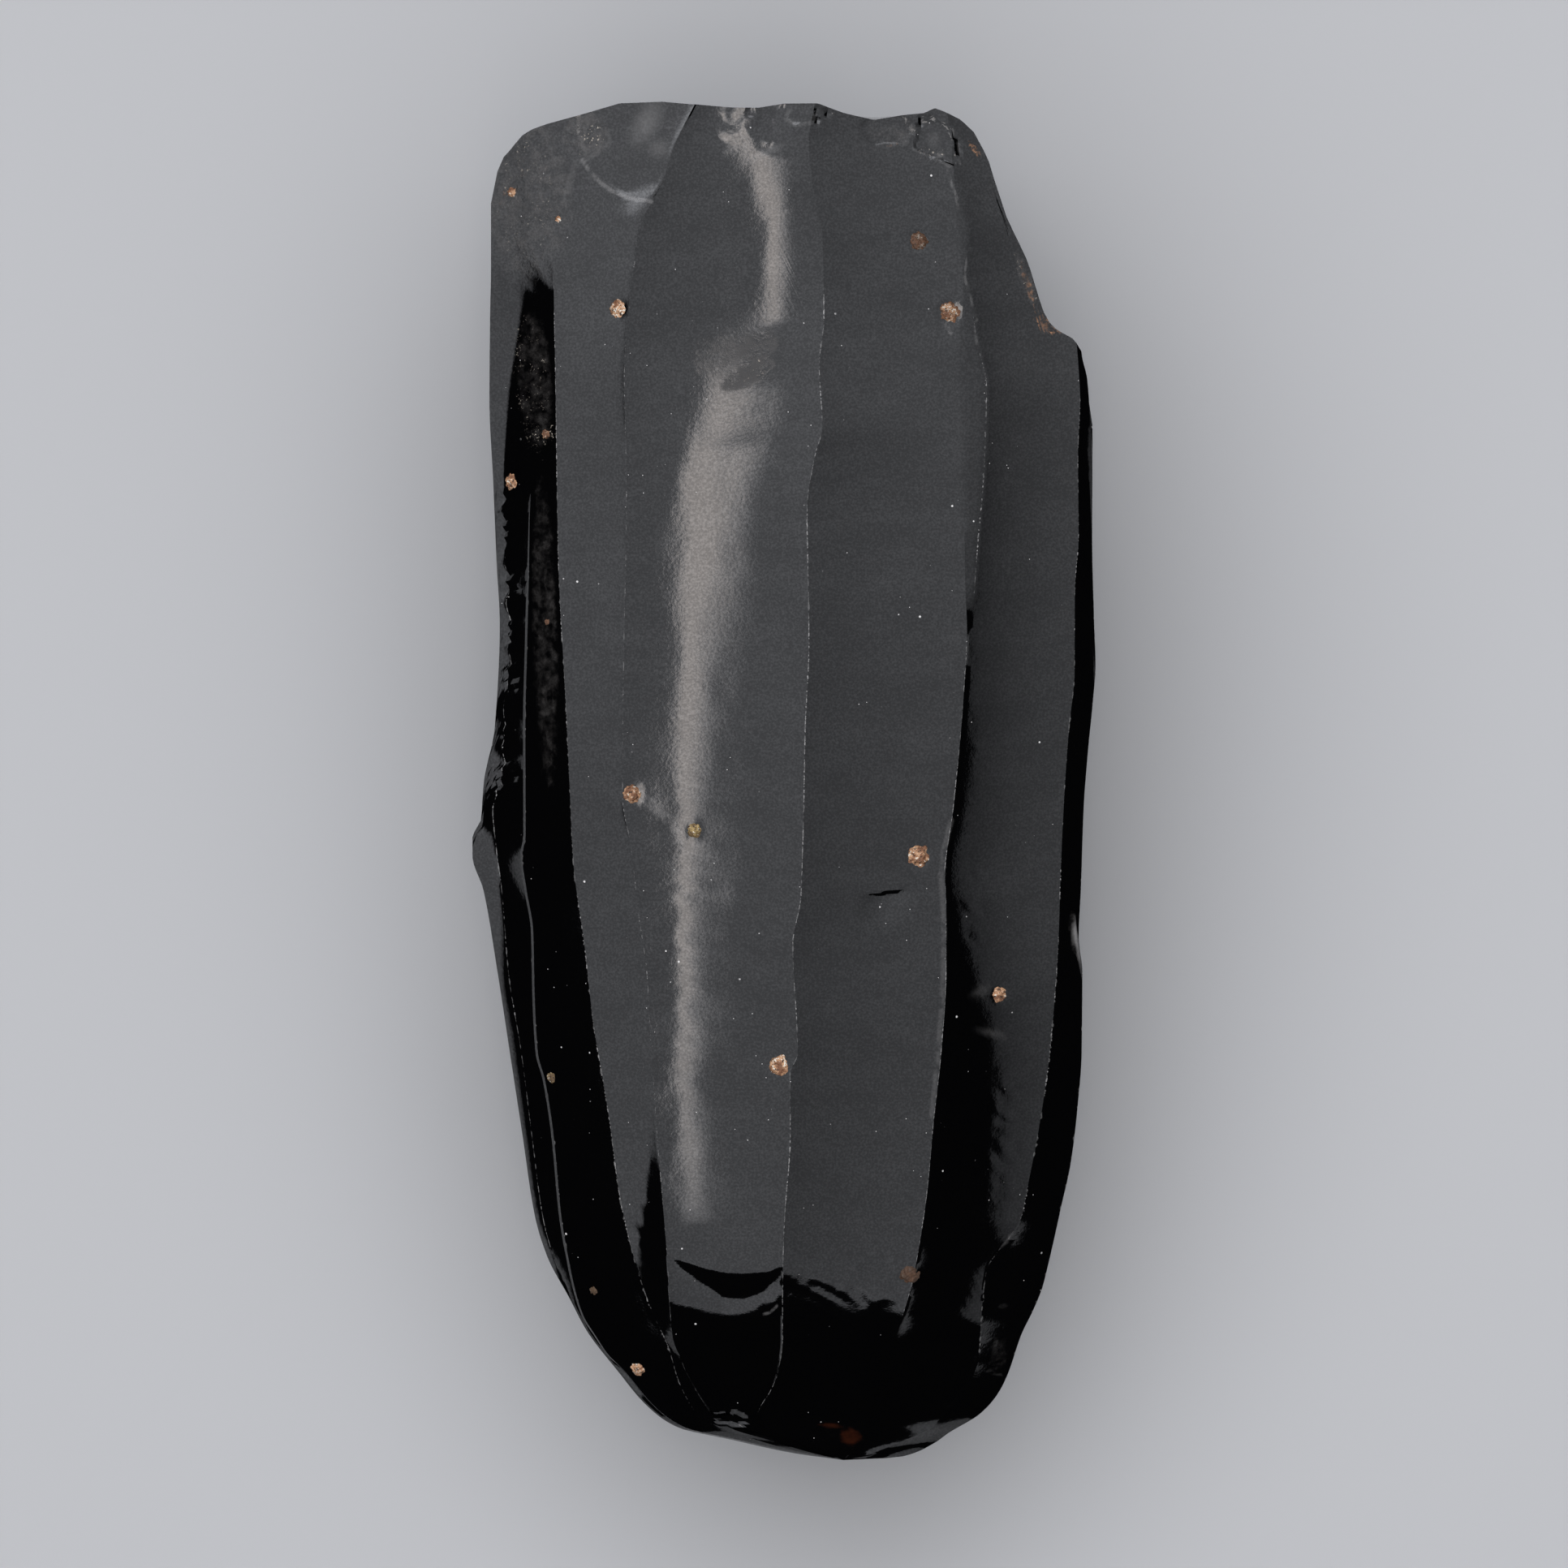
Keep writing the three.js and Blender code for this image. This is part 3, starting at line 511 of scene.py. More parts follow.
# Small scallops of the platform's front edge: [place across, how far the edge falls back], in percent
SCALLOPS = [
    [-43, 0], [-39, 0], [-30, 0.3], [-17, 0.5], [-8, 0.5], [0, 0.2], [11, 0.2], [19, 0.8], [29, 1.3],
    [38, 0.9], [45, 0.7], [50, 0],
]
SCALLOP_REACH = 5 * MM


def across_at(share):
    return np.asarray(share) / 100 * WIDTH / 2


def length_at(share):
    return (np.asarray(share) / 100 - 0.5) * LENGTH


def depth_at(share):
    return np.asarray(share) / 100 * DEPTH


def along(line, at):
    """Both values of a drawn line at the places `at`: a cubic through its points whose slope at a
    point is the harmonic mean of the slopes beside it, or level where they differ in sign."""
    table = np.array(line, float)
    place, value = table[:, 0], table[:, 1:]
    slope = np.diff(value, axis=0) / np.diff(place)[:, None]
    before, after = slope[:-1], slope[1:]
    same = before * after > 0
    mean = np.where(same, 2 * before * after / np.where(same, before + after, 1), 0)
    tangent = np.vstack([slope[:1], mean, slope[-1:]])
    at = np.clip(at, place[0], place[-1])
    k = np.clip(np.searchsorted(place, at, side="right") - 1, 0, len(place) - 2)
    step = (place[k + 1] - place[k])[..., None]
    t = (at - place[k])[..., None] / step
    rise = value[k + 1] - value[k]
    bend = (1 - t) * tangent[k] - t * tangent[k + 1] + (2 * t - 1) * rise / step
    return value[k] + rise * t + t * (1 - t) * step * bend


def named(name):
    return next(ridge for ridge in RIDGES if ridge["name"] == name)


def step(value):
    """A smooth step from 0 at 0 to 1 at 1."""
    value = np.clip(value, 0, 1)
    return value * value * (3 - 2 * value)


def merged(share):
    """0 where the left flank has a crest of its own, 1 where it is one plane with the scar beside it."""
    return step((share - MERGE_FROM) / MERGE_OVER)


def teeth(share):
    """How far the ragged line wanders: a saw wave whose teeth differ in length and reach."""
    y = length_at(share)
    turn = y / TEETH_LENGTH + 0.35 * np.sin(y / (1.9 * MM)) + 0.3 * np.sin(y / (0.7 * MM))
    saw = 1 - 2 * np.abs(2 * (turn % 1) - 1)
    reach = 0.7 + 0.3 * np.sin(y / (1.3 * MM) + 1)
    ends = step((share - TEETH_FROM) / 3) * step((TEETH_TO - share) / 3)
    return TEETH_REACH * saw * reach * ends


def ridge_points(i, share):
    """x and z of ridge number i at shares of the length."""
    ridge = RIDGES[i % len(RIDGES)]
    name = ridge["name"]
    main = ridge
    if "beside" in ridge:
        main = named(ridge["beside"])
    place = along(main["line"], share)
    aside, lower = ridge.get("shift", (0, 0))
    fade = np.minimum(1, share / BEVEL_GROWS) * np.clip((BEVEL_END - share) / BEVEL_FADE, BEVEL_LEAST, 1)
    fade = BEVEL_SEEN * fade
    x = across_at(place[..., 0] + aside * fade)
    z = depth_at(place[..., 1] + lower * fade)
    if name in ("left_bevel_line", "left_crest"):
        part = CREST_PART if name == "left_crest" else BEVEL_PART
        outer, inner = (along(named(side)["line"], share) for side in ("left_flank_line", "left_ridge"))
        plane = outer + (inner - outer) * part
        blend = merged(share)
        x = x + (across_at(plane[..., 0]) - x) * blend
        z = z + (depth_at(plane[..., 1]) - z) * blend
    if name == "left_flank_line":
        x = x + teeth(share)
    return x, z


def scar_points(i, t, share):
    """Scar number i, `t` of the way across: the straight line between its two ridges, sunk into the
    stone by the parabola hollow * 4 t (1 - t), as a share of that line's length, less near the tip."""
    from_x, from_z = ridge_points(i, share)
    to_x, to_z = ridge_points(i + 1, share)
    chord_x = to_x - from_x
    chord_z = to_z - from_z
    sink = RIDGES[i]["hollow"] * 4 * t * (1 - t) * np.minimum(1, share / HOLLOW_GROWS)
    if RIDGES[i]["name"] in ("left_flank_line", "left_crest"):
        sink = sink * (1 - merged(share))
    return from_x + chord_x * t + chord_z * sink, from_z + chord_z * t - chord_x * sink


def platform_height(x, z):
    """The height y of the leaning platform, less its scallops."""
    front = depth_at(PLATFORM_FRONT_UP)
    scallops = np.array(SCALLOPS)
    dip = np.interp(x, across_at(scallops[:, 0]), scallops[:, 1] / 100 * LENGTH)
    top = length_at(100) - math.tan(PLATFORM_LEAN) * (front - z)
    return top - dip * np.exp(-(((front - z) / SCALLOP_REACH) ** 2))


def corner_height(x, z):
    """The height y of the lower of the two corner breaks."""
    top = np.full(np.broadcast(x, z).shape, LENGTH)
    for corner in CORNERS:
        outline = np.array(corner["outline"])
        side = np.sign(outline[-1, 0])
        shifted = side * x + CORNER_SWEEP * (depth_at(corner["up"]) - z)
        top = np.minimum(top, np.interp(shifted, side * across_at(outline[:, 0]), length_at(outline[:, 1])))
    return top


def top_height(x, z):
    """The height y where the stone ends above a place."""
    return np.minimum(platform_height(x, z), corner_height(x, z))


def inward_shares(x, z, centre_x, centre_z):
    """How far in from the rim to the platform's middle each point of the platform's rows lies. The row
    CREASE_ROW lies on the crease between a corner break and the platform, where there is one."""
    low = np.zeros(len(x))
    high = np.ones(len(x))
    for _ in range(HALVINGS):
        middle = (low + high) / 2
        at_x, at_z = x + (centre_x - x) * middle, z + (centre_z - z) * middle
        broken = corner_height(at_x, at_z) < platform_height(at_x, at_z)
        low = np.where(broken, middle, low)
        high = np.where(broken, high, middle)
    crease = np.maximum(low, CREASE_LEAST)
    row = np.arange(1, PLATFORM_ROWS)[:, None]
    beyond = (row - CREASE_ROW) / (PLATFORM_ROWS - CREASE_ROW)
    return np.where(row < CREASE_ROW, crease * row / CREASE_ROW, crease + (1 - crease) * beyond)


def skin_columns():
    """For every column of the skin, its scar and how far across the scar it runs."""
    scars = []
    shares = []
    for i, ridge in enumerate(RIDGES):
        count = COLUMNS[ridge["name"]]
        scars += [i] * count
        shares += [k / count for k in range(count)]
    return np.array(scars), np.array(shares)


def on_scars(scars, shares, along_share):
    """x and z for arrays whose last axis is the skin's columns."""
    x = np.zeros(along_share.shape)
    z = np.zeros(along_share.shape)
    for i in range(len(RIDGES)):
        mine = scars == i
        x[..., mine], z[..., mine] = scar_points(i, shares[mine], along_share[..., mine])
    return x, z


def row_shares():
    """Places of the rows between tip and platform, closer together near both ends."""
    v = np.linspace(0, 1, 2000)
    density = 0.75 + 2.6 * np.exp(-(((1 - v) / 0.085) ** 2)) + 1.1 * np.exp(-v / 0.06)
    density += 3 * np.exp(-(((v - 0.4185) / 0.006) ** 2)) + 0.8 * np.exp(-(((v - 0.14) / 0.03) ** 2))
    total = np.cumsum(density) - density[0]
    return np.interp(np.linspace(0, total[-1], BODY_ROWS + 1), total, v)


def waves(x, y, seed, scale, count=12):
    """Smooth noise between about -1 and 1: a sum of sine waves that run in all directions."""
    rng = np.random.default_rng(seed)
    total = np.zeros(np.broadcast(x, y).shape)
    for _ in range(count):
        angle = rng.uniform(0, 2 * math.pi)
        pitch = 2 * math.pi / (scale * rng.uniform(0.6, 1.6))
        phase = rng.uniform(0, 2 * math.pi)
        total += np.sin(pitch * (math.cos(angle) * x + math.sin(angle) * y) + phase)
    return total / math.sqrt(count)


def photo_place(across, down):
    """x and y of a place in the photograph, in its own pixels."""
    return (across - PHOTO_MIDDLE[0]) * PIXEL, (PHOTO_MIDDLE[1] - down) * PIXEL


def hinge(x, y):
    """The thin black crescent on the scar to the right: a steep little fall that the scar regains below."""
    (mid_x, mid_y), half = photo_place(*HINGE_MIDDLE), HINGE_HALF * PIXEL
    u = (x - mid_x) / half
    bulge = np.clip(1 - u * u, 0, 1)
    below = mid_y + HINGE_TURN * (x - mid_x) - y
    width = HINGE_WIDTH * (0.2 + 0.8 * bulge)
    return -HINGE_STEEP * width * bulge * np.clip(below / width, 0, 1) * step((HINGE_REGAINED - below) / HINGE_REGAINED)


def crescent(x, y):
    """An even fall between the crescent's two edges that stays below it, and a bell along the arc."""
    across = PHOTO_MIDDLE[0] + x / PIXEL
    down = PHOTO_MIDDLE[1] - y / PIXEL
    upper, lower = np.moveaxis(along(CRESCENT, across), -1, 0)
    arc = along(ARC, across)[..., 0]
    fall = CRESCENT_STEEP * PIXEL * np.clip(down - upper, 0, lower - upper)
    return ARC_HEIGHT * np.exp(-(((down - arc) * PIXEL / ARC_WIDTH) ** 2)) - fall


def groove(x, y):
    """A bell across the middle scar, whose middle and depth follow the groove's table. Lower down it leans to
    either side in turn."""
    down = PHOTO_MIDDLE[1] - y / PIXEL
    line = along(GROOVE, down)
    beside = x - (line[..., 0] - PHOTO_MIDDLE[0]) * PIXEL
    notch = np.sin(2 * math.pi * y / NOTCH_LENGTH + 1.8 * np.sin(y / NOTCH_WANDER))
    notch = notch * step((down - NOTCHES_FROM) / NOTCHES_GROW) * step((NOTCHES_TO - down) / NOTCHES_GROW)
    depth = line[..., 1] * MM - NOTCH_LEAN * beside * notch
    return -depth * np.exp(-((beside / (line[..., 2] * PIXEL)) ** 2))


def from_middle(x, y, middle, halves, turn):
    """Distance from the middle of an oval on the front, 1 at its outline."""
    mid_x, mid_y = photo_place(*middle)
    cos, sin = math.cos(math.radians(turn)), math.sin(math.radians(turn))
    across = ((x - mid_x) * cos + (y - mid_y) * sin) / (halves[0] * PIXEL)
    up = ((y - mid_y) * cos - (x - mid_x) * sin) / (halves[1] * PIXEL)
    return np.hypot(across, up)


def from_line(x, y, points):
    """Distance from a bent line through places in the photograph."""
    nearest = np.full(x.shape, LENGTH)
    corners = [photo_place(*point) for point in points]
    for (from_x, from_y), (to_x, to_y) in zip(corners, corners[1:]):
        run_x, run_y = to_x - from_x, to_y - from_y
        t = np.clip(((x - from_x) * run_x + (y - from_y) * run_y) / (run_x**2 + run_y**2), 0, 1)
        nearest = np.minimum(nearest, np.hypot(x - from_x - t * run_x, y - from_y - t * run_y))
    return nearest


def bell(x, y, points, half):
    """1 on a bent line, and a bell beside it that falls to a third at `half` pixels."""
    return np.exp(-((from_line(x, y, points) / (half * PIXEL)) ** 2))


def drawn_lines(x, y):
    """At every place how near the nearest drawn line is, and how pale that line is."""
    near = np.zeros(x.shape)
    share = np.zeros(x.shape)
    for points, half, pale, _ in LINES:
        here = bell(x, y, points, half)
        share = np.where((here > near) & (pale > 0), pale, share)
        near = np.where(pale > 0, np.maximum(near, here), near)
    return near, share


def facet(x, y):
    """The fall of the angular flake scar: a smooth step in from its outline, whose corners run clockwise."""
    inside = np.full(x.shape, LENGTH)
    corners = [photo_place(*corner) for corner in FACET]
    for (from_x, from_y), (to_x, to_y) in zip(corners, corners[1:] + corners[:1]):
        run_x, run_y = to_x - from_x, to_y - from_y
        away = ((y - from_y) * run_x - (x - from_x) * run_y) / math.hypot(run_x, run_y)
        inside = np.minimum(inside, -away)
    return -FACET_DEPTH * step(inside / FACET_RIM)


def patches(x, y, ovals, edge):
    """At every place the strength of the strongest oval there. Ovals fade over the outer `edge` of their
    size."""
    total = np.zeros(x.shape)
    for middle, halves, turn, strength in ovals:
        total = np.maximum(total, strength * step((1 - from_middle(x, y, middle, halves, turn)) / edge))
    return total


def dents(x, y, scars, shares):
    """The sum of the dents: each is a flat-bottomed oval whose rim rises by a smooth step and wanders."""
    x = x + 0.12 * MM * waves(x, y, 21, 1.6 * MM)
    y = y + 0.12 * MM * waves(x, y, 22, 1.6 * MM)
    height = np.zeros(x.shape)
    for points, half, _, raised in LINES:
        if raised:
            height += raised * MM * bell(x, y, points, half)
    height += facet(x, y)
    for scar, middle, halves, turn, depth, rim in DENTS:
        kept = step((1 - shares) / 0.5) * 0.7 + 0.3 if scar == "left_ridge" else 1
        if scar:
            kept = kept * (scars == RIDGES.index(named(scar))) * (shares > 0)
        height -= depth * MM * step((1 - from_middle(x, y, middle, halves, turn)) / rim) * kept
    return height


def relief(x, y, scars, shares):
    """Small heights added to the front: long waves, ripples that bulge towards the tip, dents, and on the
    middle scar its groove and its crescent."""
    middle_scar = scars == MIDDLE_SCAR
    swell = np.where(middle_scar, 4e-6, 9e-6)
    height = swell * waves(x, y, 3, 9 * MM) + 2e-6 * waves(x, y, 4, 2.6 * MM)
    ripple = np.sin(2 * math.pi * (y + 45 * (x + 5 * MM) ** 2 + 0.3 * MM * waves(x, y, 5, 8 * MM)) / (1.7 * MM))
    low = step((-0.018 - y) / 0.03)
    rough = 6e-6 * patches(x, y, GRAINS, 0.3) * waves(x, y, 6, 0.9 * MM)
    rough = rough + 1.6e-5 * patches(x, y, RAGGED, 0.6) * waves(0.6 * x, y + 0.5 * x, 7, 1.3 * MM)
    height = height + 3.5e-6 * ripple * low + rough + dents(x, y, scars, shares)
    height = height + np.where(scars == MIDDLE_SCAR + 1, hinge(x, y), 0)
    return height + np.where(middle_scar, crescent(x, y) + groove(x, y), 0)


def core_grid():
    """The skin of the core as rows of points: tip row, scars up to the rim, platform in to its middle."""
    scars, shares = skin_columns()
    low = np.zeros(len(scars))
    high = np.full(len(scars), 100.0)
    for _ in range(HALVINGS):
        middle = (low + high) / 2
        x, z = on_scars(scars, shares, middle)
        below = length_at(middle) < top_height(x, z)
        low = np.where(below, middle, low)
        high = np.where(below, high, middle)
    share = row_shares()[1:, None] * low[None, :]
    x, z = on_scars(scars, shares, share)
    y = length_at(share)
    centre_x = across_at(PLATFORM_CENTRE[0])
    centre_z = depth_at(PLATFORM_CENTRE[1])
    inward = inward_shares(x[-1], z[-1], centre_x, centre_z)
    cap_x = x[-1] + (centre_x - x[-1]) * inward
    cap_z = z[-1] + (centre_z - z[-1]) * inward
    cap_y = top_height(cap_x, cap_z)
    z = z + np.where(scars < FRONT_SCARS, relief(x, y, scars, shares), 0)
    grid = np.stack([np.vstack([x, cap_x]), np.vstack([y, cap_y]), np.vstack([z, cap_z])], axis=-1)
    tip_x, tip_z = ridge_points(0, np.array(0.0))
    tip = np.array([tip_x, length_at(0), tip_z])
    centre = np.array([centre_x, top_height(centre_x, centre_z), centre_z])
    return grid, tip, centre, scars, shares


def closed_mesh(name, grid, first, last):
    """A mesh from rows of points that close round, with a pole before the first row and after the last."""
    rows, columns = grid.shape[:2]
    points = np.vstack([first[None], grid.reshape(-1, 3), last[None]])
    index = np.arange(rows * columns).reshape(rows, columns) + 1
    beside = np.roll(index, -1, axis=1)
    quads = np.stack([index[:-1], beside[:-1], beside[1:], index[1:]], axis=-1).reshape(-1, 4)
    start = np.stack([np.zeros(columns, int), beside[0], index[0]], axis=-1)
    end = np.stack([index[-1], beside[-1], np.full(columns, len(points) - 1)], axis=-1)
    corners = np.concatenate([quads.ravel(), start.ravel(), end.ravel()])
    sizes = np.concatenate([np.full(len(quads), 4), np.full(2 * columns, 3)])
    starts = np.concatenate([[0], np.cumsum(sizes)[:-1]])
    mesh = bpy.data.meshes.new(name)
    mesh.vertices.add(len(points))
    mesh.vertices.foreach_set("co", points.astype(np.float32).ravel())
    mesh.loops.add(len(corners))
    mesh.loops.foreach_set("vertex_index", corners.astype(np.int32))
    mesh.polygons.add(len(sizes))
    mesh.polygons.foreach_set("loop_start", starts.astype(np.int32))
    mesh.update(calc_edges=True)
    mesh.validate()
    mesh.shade_smooth()
    return mesh


def show(mesh, material, node):
    """Puts a finished mesh in the scene in place of a node of the model."""
    piece = bpy.data.objects.new(mesh.name, mesh)
    bpy.context.scene.collection.objects.link(piece)
    mesh.materials.append(material)
    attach(piece, "root")
    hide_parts(node)
    return piece


class Value:
    """A number or colour that flows between the nodes of a material."""

    def __init__(self, nodes, socket):
        self.nodes = nodes
        self.socket = socket

    def maths(self, operation, first, second):
        return self.nodes.add("ShaderNodeMath", {"operation": operation}, [first, second])

    def __add__(self, other):
        return self.maths("ADD", self, other)

    def __radd__(self, other):
        return self.maths("ADD", other, self)

    def __sub__(self, other):
        return self.maths("SUBTRACT", self, other)

    def __rsub__(self, other):
        return self.maths("SUBTRACT", other, self)

    def __mul__(self, other):
        return self.maths("MULTIPLY", self, other)

    def __rmul__(self, other):
        return self.maths("MULTIPLY", other, self)

    def larger(self, other):
        return self.maths("MAXIMUM", self, other)

    def ramp(self, start, end):
        """0 at the start and 1 at the end, and a smooth step between them, whichever is the larger."""
        return self.nodes.add("ShaderNodeMapRange", {"interpolation_type": "SMOOTHSTEP"}, [self, start, end])

    def part(self, axis):
        """One of the three numbers of a place."""
        return self.nodes.add("ShaderNodeSeparateXYZ", {}, [self], axis)


class Nodes:
    """The node tree of a material or a lamp."""

    def __init__(self, owner):
        owner.use_nodes = True
        self.tree = owner.node_tree
        self.tree.nodes.clear()

    def add(self, kind, settings, inputs, output=0):
        node = self.tree.nodes.new(kind)
        for key, value in settings.items():
            setattr(node, key, value)
        pairs = inputs.items() if isinstance(inputs, dict) else enumerate(inputs)
        for key, value in pairs:
            if isinstance(value, Value):
                self.tree.links.new(value.socket, node.inputs[key])
            elif value is not None:
                node.inputs[key].default_value = value
        return Value(self, node.outputs[output]) if node.outputs else None

    def place(self):
        return self.add("ShaderNodeTexCoord", {}, [], "Object")

    def vectors(self, operation, *inputs, output="Vector"):
        return self.add("ShaderNodeVectorMath", {"operation": operation}, list(inputs), output)

    def noise(self, place, scale, detail=2, rough=0.5, output="Fac"):
        inputs = {"Vector": place, "Scale": scale, "Detail": detail, "Roughness": rough}
        return self.add("ShaderNodeTexNoise", {}, inputs, output)

    def cells(self, place, scale, output="Distance"):
        return self.add("ShaderNodeTexVoronoi", {}, {"Vector": place, "Scale": scale}, output)

    def mixed(self, share, first, second):
        """Colours mixed by a share."""
        node = self.tree.nodes.new("ShaderNodeMix")
        node.data_type = "RGBA"
        for socket, value in zip((node.inputs[0], node.inputs[6], node.inputs[7]), (share, first, second)):
            if isinstance(value, Value):
                self.tree.links.new(value.socket, socket)
            else:
                socket.default_value = value
        return Value(self, node.outputs[2])

    def bump(self, height, strength, distance, normal=None):
        inputs = {"Strength": strength, "Distance": distance, "Height": height, "Normal": normal}
        return self.add("ShaderNodeBump", {}, inputs)

    def attribute(self, name):
        return self.add("ShaderNodeAttribute", {"attribute_name": name}, [], "Fac")

    def finish(self, inputs):
        shader = self.add("ShaderNodeBsdfPrincipled", {}, inputs)
        self.add("ShaderNodeOutputMaterial", {}, {"Surface": shader})


def material(name):
    """A new material, and its nodes to fill in."""
    made = bpy.data.materials.new(name)
    return made, Nodes(made)


GLASS = (0.0008, 0.0008, 0.001, 1)
CRUSHED_GLASS_AND_HIGHLIGHT = (0.27, 0.26, 0.25, 1)
DULL_GLASS = (0.035, 0.032, 0.03, 1)
DUST = (0.75, 0.73, 0.7, 1)
NICKED = (0.09, 0.088, 0.085, 1)
RIDGE_GLINT = (0.3, 0.29, 0.28, 1)
PALE_GRAIN = (0.5, 0.44, 0.36, 1)
CRUST = (0.42, 0.2, 0.09, 1)
DARK_CRUST = (0.1, 0.05, 0.025, 1)
THIN_GLASS = (0.028, 0.007, 0.003, 1)
CRYSTAL_GAP = (0.06, 0.03, 0.015, 1)
CRYSTAL_GLINT = (0.85, 0.78, 0.66, 1)


def hackle_lines(nodes, place):
    """Fine lines that run down to the right: noise drawn out along them."""
    inputs = {"Vector": place, "Rotation": (0, 0, HACKLE_TURN), "Scale": (1, 30, 30)}
    drawn = nodes.add("ShaderNodeMapping", {"vector_type": "TEXTURE"}, inputs)
    return nodes.noise(drawn, 2900, 2, 0.6)


def obsidian():
    """Black volcanic glass: a mirror with faint clouding, dust in specks and tiny chips along ridges, painted glints
    along the ridges, pale patches and lines that are partly crushed glass and partly painted highlights, and
    weathered, grainy and rusty patches."""
    made, nodes = material("obsidian")
    place = nodes.place()
    cloud = nodes.noise(place, 160, 4, 0.6)
    mottle = nodes.noise(place, 900, 4, 0.65)
    grain = nodes.noise(place, 2600, 3, 0.6)
    ragged = 0.7 * nodes.noise(place, 1300, 4, 0.6)
    worn, grainy, rusty, thin = (
        (nodes.attribute(name) + ragged).ramp(0.5, 0.95) for name in ("worn", "grainy", "rusty", "thin"))
    ridge = nodes.attribute("ridge")

    specks = nodes.cells(place, 420).ramp(0.05, 0.03) * nodes.noise(place, 300, 1).ramp(0.52, 0.57)
    specks = specks.larger(nodes.cells(place, 1050).ramp(0.055, 0.03) * nodes.noise(place, 210, 2).ramp(0.56, 0.6))
    broken = nodes.noise(place, 2400, 3, 0.7)
    # Pale: the pale ovals and the drawn lines, partly crushed glass and partly painted highlights
    pale = nodes.attribute("pale") * (0.4 + broken)
    line = nodes.attribute("near_line").ramp(0.4, 0.9) * nodes.noise(place, 1200, 2).ramp(0.3, 0.55)
    pale = pale.larger(line * nodes.attribute("line_pale") * (0.5 + broken))
    crumbs = nodes.noise(place, 4300, 3, 0.65).ramp(0.6, 0.67)
    grains = crumbs * nodes.noise(place, 800, 3).ramp(0.44, 0.58) * grainy
    nick = (ridge * nodes.noise(place, 1500, 2)).ramp(0.5, 0.6)
    # Glint: painted highlights along the ridges, pale dashes that stand in for light caught on their edges
    glint = (ridge * nodes.noise(place, 3600, 2)).ramp(0.52, 0.6) * (ridge * nodes.noise(place, 260, 2)).ramp(0.42, 0.62)

    blotch = worn * mottle.ramp(0.35, 0.68)
    colour = nodes.mixed(blotch, GLASS, DULL_GLASS)
    colour = nodes.mixed(thin, colour, THIN_GLASS)
    colour = nodes.mixed(pale, colour, CRUSHED_GLASS_AND_HIGHLIGHT)
    colour = nodes.mixed(nick, colour, NICKED)
    colour = nodes.mixed(glint, colour, RIDGE_GLINT)
    colour = nodes.mixed(grains, colour, PALE_GRAIN)
    crust = nodes.mixed(mottle.ramp(0.4, 0.65), DARK_CRUST, CRUST)
    colour = nodes.mixed(rusty * nodes.noise(place, 2100, 4, 0.7).ramp(0.42, 0.56), colour, crust)
    colour = nodes.mixed(specks, colour, DUST)
    rough = 0.02 + 0.05 * cloud + 0.3 * blotch + 0.3 * nick.larger(pale) + 0.35 * nodes.attribute("dulled") * mottle
    rough = rough + 0.5 * (specks.larger(grains).larger(rusty))
    flow = nodes.add("ShaderNodeMapping", {"vector_type": "POINT"}, {"Vector": place, "Scale": (0.35, 1, 1)})
    film = 0.55 * nodes.noise(flow, 420, 4, 0.6) + 1.5 * nodes.noise(place, 5200, 1, 0.5) - 0.85
    film = film - 0.6 * nodes.attribute("dulled") * mottle.ramp(0.3, 0.6)

    fine = nodes.bump(hackle_lines(nodes, place) * nodes.attribute("hackled"), 0.5, 0.02 * MM)
    fine = nodes.bump(grain, 0.35, 0.02 * MM, fine)
    normal = nodes.bump((mottle - 0.5) * (worn + 0.6 * grainy), 0.5, 0.1 * MM, fine)
    nodes.finish({"Base Color": colour, "Roughness": rough, "Normal": normal, "IOR": 1.5, "Coat Weight": film,
                  "Coat Roughness": 0.08})
    return made


def crystal(name, pale, dark):
    """A ball of radiating crystal, open and crumbly: pale and darker patches, thin cracks, and white grains that are
    partly painted glints.
    A ball's own "stained" number darkens it."""
    made, nodes = material(name)
    place = nodes.place()
    stained = nodes.attribute("stained")
    patch = nodes.noise(place, 1500, 4, 0.65)
    crack = nodes.noise(place, 3800, 3, 0.6)
    grain = nodes.noise(place, 5200, 2, 0.5)
    colour = nodes.mixed((patch - 0.12 * stained).ramp(0.42, 0.58), dark, pale)
    colour = nodes.mixed(crack.ramp(0.46, 0.39), colour, CRYSTAL_GAP)
    # White grains that are partly painted glints
    colour = nodes.mixed((grain * patch).ramp(0.31, 0.37), colour, CRYSTAL_GLINT)
    colour = nodes.mixed(stained * (0.45 + patch), colour, CRYSTAL_GAP)
    normal = nodes.bump(patch + 0.5 * crack, 0.8, 0.25 * MM)
    nodes.finish({"Base Color": colour, "Roughness": 0.65, "Normal": normal})
    return made


def lumpy_ball(name, middle, radius, seed):
    """A sphere whose radius is one plus a sum of sine waves over its surface, so that it is lumpy."""
    rows, columns = 36, 56
    polar = np.linspace(0, math.pi, rows + 2)[1:-1, None]
    turn = np.linspace(0, 2 * math.pi, columns, endpoint=False)[None, :]
    way = np.stack([np.sin(polar) * np.cos(turn), np.sin(polar) * np.sin(turn),
                    -np.cos(polar) * np.ones_like(turn)], axis=-1)
    rng = np.random.default_rng(seed)
    lump = np.zeros(way.shape[:2])
    for _ in range(18):
        lump += np.sin(way @ rng.normal(0, 8, 3) + rng.uniform(0, 2 * math.pi))
    grid = middle + way * (radius * (1.06 + 0.017 * lump))[..., None]
    pole = np.array([0, 0, radius])
    return closed_mesh(name, grid, middle - pole, middle + pole)


